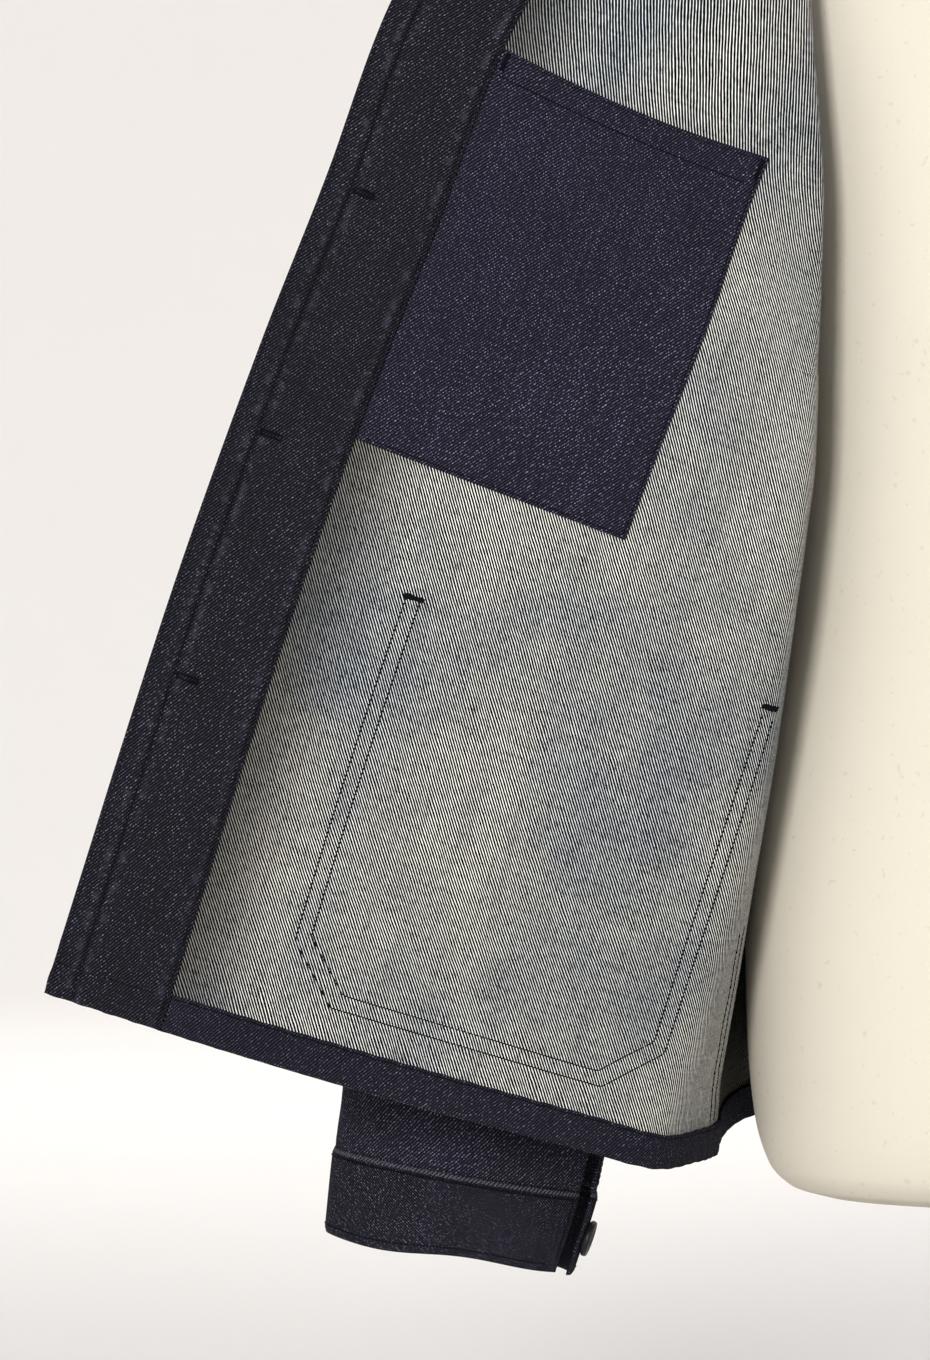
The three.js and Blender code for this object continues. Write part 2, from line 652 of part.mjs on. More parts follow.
// Collar: it follows the neckline of the left front, the back and the open front, from and
// to the first column behind each front edge. Its columns are the panels' own.
const LEFT_SHARE = 0.3;
const BACK_SHARE = 0.64;
const COLLAR_START = 1;
const collarParts = [
  { grid: leftGrid, from: COLLAR_START, to: LEFT_COLUMNS, start: 0, end: LEFT_SHARE },
  { grid: backGrid, from: BACK_COLUMNS, to: 0, start: LEFT_SHARE, end: BACK_SHARE },
  { grid: openGrid, from: OPEN_COLUMNS, to: COLLAR_START, start: BACK_SHARE, end: 1 },
];
const collarStops = [0];
for (const { from, to, start, end } of collarParts) {
  const count = Math.abs(to - from);
  for (let i = 1; i <= count; i += 1) collarStops.push(mix(start, end, i / count));
}
function neckline(along) {
  const part = collarParts.find(({ end }) => along <= end + 1e-9);
  const k = (along - part.start) / (part.end - part.start);
  return onGrid(part.grid, mix(part.from, part.to, THREE.MathUtils.clamp(k, 0, 1)), TOP_ROW);
}
const COLLAR_RISE = 0.5; // gap between the neckline and the collar's lower edge
const ROLL_START = 0.12;
const ROLL_END = 0.5;
const POINT_REACH = 20; // how far the collar's points run forward
function collarPoint(along, across) {
  const here = neckline(along);
  const step = 0.012;
  const before = neckline(Math.max(along - step, 0)).point;
  const path = neckline(Math.min(along + step, 1)).point.sub(before);
  const outwards = vector(path.y, -path.x, 0).normalize();
  const at = (column) => read(COLLAR, 'along', column, along);
  const lean = THREE.MathUtils.degToRad(at('lean'));
  const roll = THREE.MathUtils.degToRad(at('roll'));
  const length = at('length');
  const up = path.clone().cross(here.normal).normalize();
  const point = here.point.clone().addScaledVector(up, COLLAR_RISE * Math.sign(up.z));
  const parts = 24;
  const stretch = (length * across) / parts;
  for (let k = 0; k < parts; k += 1) {
    const middle = ((k + 0.5) / parts) * across;
    const angle = -lean + roll * THREE.MathUtils.smoothstep(middle, ROLL_START, ROLL_END);
    point.addScaledVector(outwards, Math.sin(angle) * stretch);
    point.z += Math.cos(angle) * stretch;
  }
  const nearEnd = Math.max(0, 1 - Math.min(along, 1 - along) / 0.1);
  const forward = along < 0.5 ? -1 : 1;
  path.z = 0;
  point.addScaledVector(path.normalize(), forward * POINT_REACH * nearEnd ** 2 * across ** 2);
  return point;
}
function collarNormal(along, across) {
  if (across < 1e-6) return neckline(along).normal;
  return normalOf(collarPoint, along, across, 1);
}
const COLLAR_STEPS = [0, 0.125, 0.25, 0.3334, 0.4167, 0.5, 0.6667, 0.8334, 1];
addPiece(
  'collar',
  wallOn(
    collarStops.length - 1,
    COLLAR_STEPS.length - 1,
    (i, j) => ({
      point: collarPoint(collarStops[i], COLLAR_STEPS[j]),
      normal: collarNormal(collarStops[i], COLLAR_STEPS[j]),
    }),
    0,
    -COLLAR_CLOTH,
  ),
  denimFace,
);

// Buttons: a disc with four holes, held just off the cloth by its thread.
function buttonGeometry() {
  const outline = new THREE.Shape();
  outline.absarc(0, 0, BUTTON_DIAMETER / 2, 0, 2 * Math.PI, false);
  for (const [x, y] of [[1, 1], [1, -1], [-1, 1], [-1, -1]]) {
    const rim = [0, 1, 2, 3, 4, 5].map((k) => {
      const turn = (-k * Math.PI) / 3;
      const radius = HOLE_DIAMETER / 2;
      return new THREE.Vector2(
        x * HOLE_SPACING / 2 + radius * Math.cos(turn),
        y * HOLE_SPACING / 2 + radius * Math.sin(turn),
      );
    });
    outline.holes.push(new THREE.Path(rim));
  }
  const geometry = new THREE.ExtrudeGeometry(outline, {
    depth: BUTTON_THICKNESS,
    bevelEnabled: false,
    curveSegments: 9,
  });
  geometry.deleteAttribute('uv');
  geometry.deleteAttribute('normal');
  return geometry;
}
function placeButton(name, { point, normal }, clearance) {
  const mesh = addPiece(name, buttonGeometry(), buttonHorn);
  mesh.position.copy(point).addScaledVector(normal, clearance);
  mesh.quaternion.setFromUnitVectors(vector(0, 0, 1), normal);
}
const LEFT_WIDTH_SHARE = 0.07; // the button line's share of the left front's width
const CUFF_BUTTON = { q: 0.03, t: 1.043 }; // its place round and down the cuff
const CUFF_SHANK = 0.2;
const SHANK = 0.8; // thread between the button and the cloth, which is curved
for (let k = 0; k < 4; k += 1) {
  const share = edgeShare(LOWEST_BUTTON + k * BUTTON_SPACING);
  placeButton(`front_button_${k + 1}`, pointOn(leftFront, LEFT_WIDTH_SHARE, share), SHANK);
}
for (const right of [true, false]) {
  const place = {
    point: sleevePoint(right, CUFF_BUTTON.q, CUFF_BUTTON.t),
    normal: sleeveNormal(right, CUFF_BUTTON.q, CUFF_BUTTON.t),
  };
  placeButton(`${right ? 'right' : 'left'}_cuff_button`, place, CUFF_STEP + CUFF_SHANK);
}

// Dress form and stand

const FORM_SEGMENTS = 30;
const FORM_POWER = 2.15;
function formTorso() {
  const vertices = [];
  const triangles = [];
  for (const { z, wide, front, back: rear } of FORM) {
    for (let i = 0; i < FORM_SEGMENTS; i += 1) {
      const theta = (2 * Math.PI * i) / FORM_SEGMENTS;
      const cosine = Math.cos(theta);
      const sine = Math.sin(theta);
      const deep = sine < 0 ? front : rear;
      vertices.push(vector(
        wide * Math.sign(cosine) * Math.abs(cosine) ** (2 / FORM_POWER),
        deep * Math.sign(sine) * Math.abs(sine) ** (2 / FORM_POWER),
        z,
      ));
    }
  }
  const at = (i, j) => j * FORM_SEGMENTS + (i % FORM_SEGMENTS);
  for (let j = 0; j < FORM.length - 1; j += 1) {
    for (let i = 0; i < FORM_SEGMENTS; i += 1) {
      triangles.push([at(i, j), at(i + 1, j), at(i + 1, j + 1)]);
      triangles.push([at(i, j), at(i + 1, j + 1), at(i, j + 1)]);
    }
  }
  const bottom = vertices.push(vector(0, 0, FORM[0].z)) - 1;
  const top = vertices.push(vector(0, 0, FORM[FORM.length - 1].z)) - 1;
  for (let i = 0; i < FORM_SEGMENTS; i += 1) {
    triangles.push([bottom, at(i + 1, 0), at(i, 0)]);
    triangles.push([top, at(i, FORM.length - 1), at(i + 1, FORM.length - 1)]);
  }
  return closedBody(vertices, triangles);
}
addPiece('form_torso', formTorso(), formCover);

// A turned piece, whose profile is given as radius and height and closes on the axis.
function turned(name, profile, segments, material) {
  const outline = profile.map(([radius, height]) => new THREE.Vector2(radius, height));
  const geometry = new THREE.LatheGeometry(outline, segments);
  geometry.deleteAttribute('uv');
  geometry.deleteAttribute('normal');
  geometry.rotateX(Math.PI / 2);
  return addPiece(name, geometry, material);
}
const formTop = FORM[FORM.length - 1].z;
const capRadius = 54;
const capHeight = 12;
turned(
  'form_neck_cap',
  [[0, 0], [capRadius, 0], [capRadius, capHeight * 0.6], [capRadius - 4, capHeight], [0, capHeight]],
  28,
  formCover,
).position.z = formTop + SEAM;
const poleRadius = POLE_DIAMETER / 2;
const poleHeight = STAND_LIFT - BASE_HEIGHT - 2 * SEAM;
turned(
  'stand_pole',
  [[0, 0], [poleRadius, 0], [poleRadius, poleHeight], [0, poleHeight]],
  20,
  paintedSteel,
).position.z = BASE_HEIGHT + SEAM - STAND_LIFT;
const baseRadius = BASE_DIAMETER / 2;
turned(
  'stand_base',
  [
    [0, 0],
    [baseRadius, 0],
    [baseRadius, BASE_HEIGHT * 0.5],
    [baseRadius - 8, BASE_HEIGHT * 0.85],
    [baseRadius * 0.4, BASE_HEIGHT],
    [0, BASE_HEIGHT],
  ],
  40,
  paintedSteel,
).position.z = -STAND_LIFT;

// The jacket, form and stand are placed above the floor together.
const lifted = new THREE.Group();
lifted.position.z = STAND_LIFT;
lifted.add(...mainPieces);
const jacketOnForm = new THREE.Group();
jacketOnForm.add(lifted);
jacketOnForm.updateMatrixWorld(true);

export default jacketOnForm;
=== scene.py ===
import math
import random

import bpy
import numpy as np
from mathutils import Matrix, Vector


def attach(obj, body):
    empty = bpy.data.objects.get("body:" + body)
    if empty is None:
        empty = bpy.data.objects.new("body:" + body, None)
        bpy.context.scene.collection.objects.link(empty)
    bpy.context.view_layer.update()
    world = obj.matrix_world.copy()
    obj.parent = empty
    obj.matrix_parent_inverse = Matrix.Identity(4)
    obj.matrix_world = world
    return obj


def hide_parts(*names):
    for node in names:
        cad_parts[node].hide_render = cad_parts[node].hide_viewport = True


# Chore jacket of dark denim on a limbless dress form, its right front swung open.
# Lengths are in millimetres above the form's underside until a mesh is made.
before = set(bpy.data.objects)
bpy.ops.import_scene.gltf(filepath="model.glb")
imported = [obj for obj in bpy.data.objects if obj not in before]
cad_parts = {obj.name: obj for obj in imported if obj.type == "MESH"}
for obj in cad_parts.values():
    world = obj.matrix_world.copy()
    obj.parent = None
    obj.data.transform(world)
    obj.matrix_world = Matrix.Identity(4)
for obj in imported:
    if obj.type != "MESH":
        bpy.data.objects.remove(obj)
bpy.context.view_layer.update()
random.seed(11)
dice = np.random.default_rng(7)

# Sizes shared with the solid part
STAND_LIFT = 160.0
CLOTH = 1.5
SEAM = 0.3
CUFF_CLOTH = 2.5
COLLAR_CLOTH = 2.0
HEM_TURN = 16.0
FRONT_LENGTH = 540.0
UNDERARM_HEIGHT = 398.0
UNDERARM_SHARE = 0.615
SHOULDER_SHARE = 0.916
LEVEL_BREAK = 376.0
ARMHOLE_ANGLE = math.radians(31)
LEFT_EDGE_ANGLE = math.radians(95)
BODY_POWER = 2.2
NECK_SHIFT = 35.0
FACING_WIDTH = 53.0
BUTTON_SPACING = 112.5
LOWEST_BUTTON = 149.0
INNER_POCKET = {"left": FACING_WIDTH + SEAM, "right": 179.0, "bottom": 273.0, "top": 456.0, "sag": 4.0, "gape": 2.0}
HIP_POCKET = {"left": 96.0, "right": 271.0, "bottom": 28.0, "top": 216.0, "corner": 24.0, "slant": 7.0}
VENT_ANGLE = math.radians(7.5)
SEAM_DRIFT = math.radians(22.5)
CUFF_STEP = 1.0

# Half-width and half-depths of the closed jacket at each height
BODY = {
    "z": [10, 100, 200, 300, 398, 490, 550, 582, 600, 612, 623, 633, 640],
    "wide": [189, 183, 180, 181, 186, 199, 216, 219, 170, 137, 108, 82, 74],
    "front": [139, 137, 136, 138, 140, 133, 121, 107, 88, 74, 59, 42, 30],
    "back": [131, 131, 131, 133, 135, 131, 119, 107, 93, 84, 76, 69, 65],
}
# Height of the neckline and the hem by the angle from the side
NECKLINE = {
    "angle": [0, 20, 45, 60, 72, 80, 85, 90],
    "front": [633, 631, 623, 612, 600, 579, 568, 566],
    "back": [633, 634, 637, 638, 639, 639, 639, 639],
}
HEM = {"angle": [0, 30, 90], "front": [18, 22, 28], "back": [18, 31, 34]}
# The open front's rows by the height up its front edge
OPEN_FRONT = {
    "v": [0, 50, 120, 200, 300, 376, 450, 480, 500, 520, 540],
    "edgeX": [-485, -470, -449, -424, -390, -362, -337, -323, -310, -294, -274],
    "edgeY": [-130, -130, -130, -130, -130, -130, -130, -129, -127, -123, -116],
    "edgeZ": [100, 148, 215, 291, 385, 456, 525, 551, 567, 580, 592],
    "foldX": [-223, -205, -187, -170, -156, -147, -146, -148, -149, -139, -123],
    "foldY": [-95, -88, -94, -98, -100, -100, -101, -99, -90, -62, -14],
    "foldZ": [21, 66, 127, 203, 295, 369, 446, 502, 543, 594, 634],
    "turn": [20, 22, 20, 19, 19, 19, 18, 17, 15, 12, 8],
    "swell": [6, 8, 9, 9, 9, 9, 9, 8, 7, 5, 1],
    "bow": [-4, 0, 4, 2, -3, -4, -2, 0, 0, 0, 0],
    "sag": [2, 0, 0, 0, 0, 0, 0, 2, 5, 9, 14],
}
# The right sleeve's rings
SLEEVE = {
    "t": [0.06, 0.15, 0.26, 0.4, 0.57, 0.78, 0.92, 1, 1.08],
    "outX": [-249, -279, -298, -311, -325, -342, -355, -362, -366],
    "outZ": [566, 527, 461, 374, 287, 165, 66, 20, -19],
    "inX": [-191, -196, -200, -205, -211, -221, -233, -241, -253],
    "inZ": [384, 356, 322, 286, 231, 127, 42, -1, -38],
    "midY": [3, 4, 6, 8, 11, 15, 18, 20, 21],
    "deep": [79, 77, 70, 61, 54, 47, 41, 37, 36],
}
COLLAR = {
    "along": [0, 0.14, 0.27, 0.38, 0.48, 0.58, 0.68, 0.8, 1],
    "length": [100, 96, 94, 93, 93, 93, 93, 94, 98],
    "lean": [10, 8, 5, 4, 4, 4, 2, -6, -8],
    "roll": [146, 132, 122, 140, 158, 142, 116, 60, 22],
}
FORM = {
    "z": [0, 4, 14, 35, 70, 110, 160, 215, 275, 340, 420, 480, 530, 560, 578, 594, 606, 617, 629, 644, 690],
    "wide": [138, 152, 162, 168.5, 172, 173, 170, 162, 153, 148, 154, 162, 171, 176, 174, 159, 137, 106, 78.2, 65.6, 60],
    "front": [84, 96, 105, 111, 114, 115, 113, 109, 105, 105, 111, 112, 104, 94, 85, 77, 72, 67, 62, 57.8, 56],
    "back": [84, 96, 107, 114, 118, 119, 116, 109, 101, 97, 103, 108, 106, 99, 91, 84, 80, 74.5, 66.4, 61.4, 56],
}


def read(table, column, at):
    """A table's column at places between its rows, on a smooth curve that never overshoots."""
    keys = np.array(next(iter(table.values())), float)
    values = np.array(table[column], float)
    at = np.clip(np.asarray(at, float), keys[0], keys[-1])
    rises = np.diff(values) / np.diff(keys)
    slopes = np.empty(len(keys))
    slopes[0], slopes[-1] = rises[0], rises[-1]
    product = rises[:-1] * rises[1:]
    total = rises[:-1] + rises[1:]
    slopes[1:-1] = np.where(product > 0, 2 * product / np.where(total == 0, 1, total), 0)
    i = np.clip(np.searchsorted(keys, at, side="right") - 1, 0, len(keys) - 2)
    span = keys[i + 1] - keys[i]
    t = (at - keys[i]) / span
    cubic = (2 * t**3 - 3 * t**2 + 1) * values[i] + (3 * t**2 - 2 * t**3) * values[i + 1]
    return cubic + span * ((t**3 - 2 * t**2 + t) * slopes[i] + (t**3 - t**2) * slopes[i + 1])


def mix(a, b, k):
    return a + (b - a) * k


def smooth(x, low, high):
    k = np.clip((np.asarray(x, float) - low) / (high - low), 0, 1)
    return k * k * (3 - 2 * k)


def unit(a):
    return a / np.maximum(np.linalg.norm(a, axis=-1, keepdims=True), 1e-9)


def body_point(theta, share):
    theta, share = np.broadcast_arrays(np.asarray(theta, float), np.asarray(share, float))
    sine, cosine = np.sin(theta), np.cos(theta)
    angle = np.degrees(np.arcsin(np.minimum(1, np.abs(sine))))
    front = sine < 0
    low = np.where(front, read(HEM, "front", angle), read(HEM, "back", angle))
    high = np.where(front, read(NECKLINE, "front", angle), read(NECKLINE, "back", angle))
    below = mix(low, UNDERARM_HEIGHT, share / UNDERARM_SHARE)
    above = mix(UNDERARM_HEIGHT, high, (share - UNDERARM_SHARE) / (1 - UNDERARM_SHARE))
    z = np.where(share <= UNDERARM_SHARE, below, above)
    pull = np.where(cosine < 0, NECK_SHIFT * smooth(z, 560, 633), 0)
    wide = read(BODY, "wide", z) + pull
    deep = np.where(front, read(BODY, "front", z), read(BODY, "back", z))
    x = wide * np.sign(cosine) * np.abs(cosine) ** (2 / BODY_POWER)
    y = deep * np.sign(sine) * np.abs(sine) ** (2 / BODY_POWER)
    return np.stack([x, y, z], -1)


ARM_MIDDLE = (UNDERARM_SHARE + SHOULDER_SHARE) / 2
ARM_HALF = (SHOULDER_SHARE - UNDERARM_SHARE) / 2


def armhole_reach(share):
    offset = (np.asarray(share, float) - ARM_MIDDLE) / ARM_HALF
    return ARMHOLE_ANGLE * np.sqrt(np.maximum(0, 1 - offset**2))


def edge_height(share):
    share = np.asarray(share, float)
    low = LEVEL_BREAK * share / UNDERARM_SHARE
    high = mix(LEVEL_BREAK, FRONT_LENGTH, (share - UNDERARM_SHARE) / (1 - UNDERARM_SHARE))
    return np.where(share <= UNDERARM_SHARE, low, high)


def edge_share(height):
    height = np.asarray(height, float)
    low = height / LEVEL_BREAK * UNDERARM_SHARE
    high = mix(UNDERARM_SHARE, 1, (height - LEVEL_BREAK) / (FRONT_LENGTH - LEVEL_BREAK))
    return np.where(height <= LEVEL_BREAK, low, high)


def row_shares(below, beside, above):
    """Shares of a panel's rows: close together where the armhole starts and ends."""
    low = np.linspace(0, UNDERARM_SHARE, below + 1)[:-1]
    turn = np.pi * (1 - np.arange(beside) / beside)
    round_arm = ARM_MIDDLE + ARM_HALF * np.cos(turn)
    high = np.linspace(SHOULDER_SHARE, 1, above + 1)
    return np.concatenate([low, round_arm, high])


def curve_row(points, count):
    """A centripetal curve through points, sampled evenly by length."""
    points = np.array(points)
    full = np.vstack([2 * points[0] - points[1], points, 2 * points[-1] - points[-2]])
    t = np.linspace(0, 1, 40)[:, None]
    parts = []
    for i in range(1, len(full) - 2):
        a, b, c, d = full[i - 1 : i + 3]
        gaps = [max(np.linalg.norm(q - p) ** 0.5, 1e-4) for p, q in ((a, b), (b, c), (c, d))]
        g0, g1, g2 = gaps
        start = ((b - a) / g0 - (c - a) / (g0 + g1) + (c - b) / g1) * g1
        end = ((c - b) / g1 - (d - b) / (g1 + g2) + (d - c) / g2) * g1
        bend2 = -3 * b + 3 * c - 2 * start - end
        bend3 = 2 * b - 2 * c + start + end
        parts.append((b + start * t + bend2 * t**2 + bend3 * t**3)[:-1])
    line = np.vstack(parts + [points[-1:]])
    run = np.concatenate([[0], np.cumsum(np.linalg.norm(np.diff(line, axis=0), axis=1))])
    at = np.linspace(0, run[-1], count)
    return np.stack([np.interp(at, run, line[:, k]) for k in range(3)], -1), run[-1]


def open_row(share, count):
    v = float(edge_height(share))
    at = {name: float(read(OPEN_FRONT, name, v)) for name in OPEN_FRONT if name != "v"}
    edge = np.array([at["edgeX"], at["edgeY"], at["edgeZ"]])
    fold = np.array([at["foldX"], at["foldY"], at["foldZ"]])
    seam = body_point(math.pi + float(armhole_reach(share)), share)
    seam[1] -= SEAM / 2
    flat = fold - edge
    length = np.linalg.norm(flat)
    flat = edge + flat * (length - 1.6 * at["turn"]) / length
    flat[1] -= 0.4 * at["turn"]
    behind = mix(fold, seam, 0.5)
    behind[0] += at["swell"]
    between = [mix(edge, flat, k) + np.array([0, at["bow"], -at["sag"]]) for k in (1 / 3, 2 / 3)]
    return curve_row([edge, *between, flat, fold, behind, seam], count)


def crease(u, v, path, width, depth, seed=0):
    """A soft trough along a path on the pattern, uneven in width and depth, fading at its ends."""
    path = np.array(path, float)
    best = np.full(u.shape, 1e9)
    place = np.zeros(u.shape)
    lengths = np.linalg.norm(np.diff(path, axis=0), axis=1)
    total = lengths.sum()
    run = 0.0
    for (a, b), length in zip(zip(path[:-1], path[1:]), lengths):
        d = (b - a) / length
        t = np.clip((u - a[0]) * d[0] + (v - a[1]) * d[1], 0, length)
        far = np.hypot(u - a[0] - t * d[0], v - a[1] - t * d[1])
        nearer = far < best
        best = np.where(nearer, far, best)
        place = np.where(nearer, (run + t) / total, place)
        run += length
    uneven = 1 + 0.25 * np.sin(9 * place + seed) + 0.15 * np.sin(23 * place + 2.3 * seed)
    fade = np.sin(np.pi * np.clip(place, 0.02, 0.98)) ** 0.8
    return depth * uneven * fade * np.exp(-((best / (width * (0.85 + 0.3 * place))) ** 2))


class Panel:
    """A piece's outer surface as a fine grid of points, with its normals and pattern places."""

    def __init__(self, points, shares, facing, u, v, side_normals=None):
        self.shares = shares
        self.facing = facing
        self.u = u
        self.v = v
        self.points = points
        self.side_normals = side_normals or {}
        self.settle()

    def settle(self):
        across = np.gradient(self.points, axis=1)
        up = np.gradient(self.points, axis=0)
        self.normals = unit(np.cross(across, up)) * self.facing
        for column, normals in self.side_normals.items():
            self.normals[:, column] = normals
        return self

    def crumple(self, relief):
        self.points = self.points + self.normals * relief[..., None]
        return self.settle()

    def at(self, s, share):
        """Point and normal at shares across and up, which may be arrays."""
        s, share = np.broadcast_arrays(np.asarray(s, float), np.asarray(share, float))
        rows, columns = self.points.shape[:2]
        c = np.clip(s, 0, 1) * (columns - 1)
        r = np.interp(share, self.shares, np.arange(rows))
        i = np.minimum(c.astype(int), columns - 2)
        j = np.minimum(r.astype(int), rows - 2)
        a, b = (c - i)[..., None], (r - j)[..., None]

        def blend(grid):
            low = grid[j, i] * (1 - a) + grid[j, i + 1] * a
            high = grid[j + 1, i] * (1 - a) + grid[j + 1, i + 1] * a
            return low * (1 - b) + high * b

        return blend(self.points), unit(blend(self.normals))


def side_normals(right, front, shares):
    theta = math.pi if right else 0.0
    up = body_point(theta, np.minimum(shares + 0.004, 1)) - body_point(theta, np.maximum(shares - 0.004, 0))
    plain = unit(np.stack([up[:, 2], np.zeros(len(shares)), -up[:, 0]], -1)) * (-1 if right else 1)
    turn = np.arccos(np.clip((shares - ARM_MIDDLE) / ARM_HALF, -1, 1)) * (1 if front else -1)
    beside = unit(np.stack([np.full(len(shares), -0.5 if right else 0.5), -np.sin(turn), np.cos(turn)], -1))
    inside = ((shares >= UNDERARM_SHARE - 1e-6) & (shares <= SHOULDER_SHARE + 1e-6))[:, None]
    return np.where(inside, beside, plain)


# Panels

SHARES = row_shares(118, 64, 16)
SPREAD = np.linspace(0, 1, 165)
rows = [open_row(share, len(SPREAD)) for share in SHARES]
open_lengths = np.array([length for _, length in rows])
open_points = np.stack([points for points, _ in rows])
open_u = SPREAD[None, :] * open_lengths[:, None]
open_v = np.repeat(edge_height(SHARES)[:, None], len(SPREAD), 1)
right_front = Panel(
    open_points, SHARES, -1, open_u, open_v, {-1: side_normals(True, True, SHARES)}
)


def across_open(u, share):
    """The share across the open front at a distance from its front edge."""
    return np.asarray(u, float) / np.interp(share, SHARES, open_lengths)


def closed_panel(theta_at, columns, shares, facing, normals, shift):
    spread = np.linspace(0, 1, columns)
    points = body_point(theta_at(spread[None, :], shares[:, None]), shares[:, None])
    for column, amount in shift.items():
        points[:, column, 1] += amount
    steps = np.linalg.norm(np.diff(points, axis=1), axis=2)
    u = np.concatenate([np.zeros((len(shares), 1)), np.cumsum(steps, axis=1)], axis=1)
    v = np.repeat(edge_height(shares)[:, None], columns, 1) * 1.12
    return Panel(points, shares, facing, u, v, normals)


LEFT_SHARES = row_shares(84, 48, 14)
left_front = closed_panel(
    lambda s, share: mix(-LEFT_EDGE_ANGLE, -armhole_reach(share), s),
    88, LEFT_SHARES, 1, {-1: side_normals(False, True, LEFT_SHARES)}, {-1: -SEAM / 2},
)
back = closed_panel(
    lambda s, share: mix(math.pi - armhole_reach(share), armhole_reach(share), s),
    128, LEFT_SHARES, -1,
    {0: side_normals(True, False, LEFT_SHARES), -1: side_normals(False, False, LEFT_SHARES)},
    {0: SEAM / 2, -1: SEAM / 2},
)


def quiet_edges(panel, seam_columns, reach=14.0):
    """0 at the sewn sides and 1 inside a panel, so that creases end at the seams."""
    hold = np.ones(panel.u.shape)
    if -1 in seam_columns:
        hold *= smooth(panel.u[:, -1:] - panel.u, 0, reach)
    if 0 in seam_columns:
        hold *= smooth(panel.u, 0, reach)
    return hold * smooth(FRONT_LENGTH - edge_height(panel.shares)[:, None], 0, 22)


# Creases of the open front, on its pattern: distance from the front edge, height up it
u, v = right_front.u, right_front.v
relief = (
    crease(u, v, [(255, 500), (238, 400), (215, 300), (205, 235)], 26, 2.6, 1)
    + crease(u, v, [(290, 470), (276, 360), (268, 270)], 15, -1.9, 2)
    + crease(u, v, [(120, 262), (170, 236), (235, 226)], 20, -1.7, 3)
    + crease(u, v, [(62, 240), (76, 160), (80, 70)], 17, 1.3, 4)
    + crease(u, v, [(150, 205), (178, 130), (190, 60)], 30, 1.5, 5)
    + crease(u, v, [(225, 190), (232, 120), (226, 50)], 18, -1.2, 6)
    + crease(u, v, [(285, 120), (300, 60), (306, 5)], 22, 2.2, 7)
    + crease(u, v, [(20, 470), (26, 330), (22, 190), (28, 60)], 24, 1.0, 8)
    + crease(u, v, [(120, 520), (190, 500), (262, 512)], 18, 2.4, 9)
    + crease(u, v, [(90, 440), (118, 380), (124, 310)], 26, 1.0, 10)
)
hem_rope = 0.28 * np.sin(2 * np.pi * (u + 0.7 * v) / 12.5 + 0.8 * np.sin(u / 31)) * smooth(30 - v, 0, 16)
edge_wave = 0.5 * np.sin(v / 27 + 1.2 * np.sin(v / 71)) * np.exp(-u / 30)
right_front.crumple((relief + hem_rope) * quiet_edges(right_front, [-1]) + edge_wave)

u, v = left_front.u, left_front.v
relief = (
    crease(u, v, [(210, 430), (150, 400), (90, 370)], 15, -3.0, 1)
    + crease(u, v, [(228, 390), (170, 340), (118, 250)], 20, -3.2, 2)
    + crease(u, v, [(24, 300), (70, 322), (120, 330)], 13, 1.8, 3)
    + crease(u, v, [(24, 180), (66, 196), (104, 190)], 12, 1.6, 4)
    + crease(u, v, [(52, 120), (58, 60), (50, 8)], 18, -2.6, 5)
    + crease(u, v, [(250, 250), (246, 130), (254, 20)], 20, -2.6, 6)
    + crease(u, v, [(120, 540), (140, 480), (190, 450)], 17, 2.2, 7)
)
hem_rope = 0.28 * np.sin(2 * np.pi * (u + 0.7 * v) / 12.5) * smooth(30 - v, 0, 16)
left_front.crumple((relief + hem_rope) * quiet_edges(left_front, [-1]))

u, v = back.u, back.v
relief = (
    crease(u, v, [(40, 470), (110, 440), (180, 450)], 18, -3.2, 1)
    + crease(u, v, [(60, 400), (130, 330), (170, 230)], 22, -3.4, 2)
    + crease(u, v, [(430, 480), (350, 440), (290, 452)], 19, -3.2, 3)
    + crease(u, v, [(420, 400), (360, 320), (330, 220)], 22, -3.4, 4)
    + crease(u, v, [(236, 300), (230, 180), (240, 20)], 26, 3.0, 5)
    + crease(u, v, [(150, 150), (146, 80), (152, 8)], 20, -2.8, 6)
    + crease(u, v, [(330, 160), (336, 90), (328, 8)], 20, -2.8, 7)
    + crease(u, v, [(90, 200), (84, 110), (92, 10)], 16, 2.0, 8)
    + crease(u, v, [(395, 210), (400, 110), (392, 10)], 16, 2.0, 9)
)
hem_rope = 0.28 * np.sin(2 * np.pi * (u + 0.7 * v) / 12.5) * smooth(30 - v, 0, 16)
back.crumple((relief + hem_rope) * quiet_edges(back, [0, -1]))


# Sleeves: q runs round from the seam's rear edge to its front edge, t runs down

def armhole_point(turn):
    share = ARM_MIDDLE + ARM_HALF * np.cos(turn)
    return body_point(math.pi + ARMHOLE_ANGLE * np.sin(turn), share)


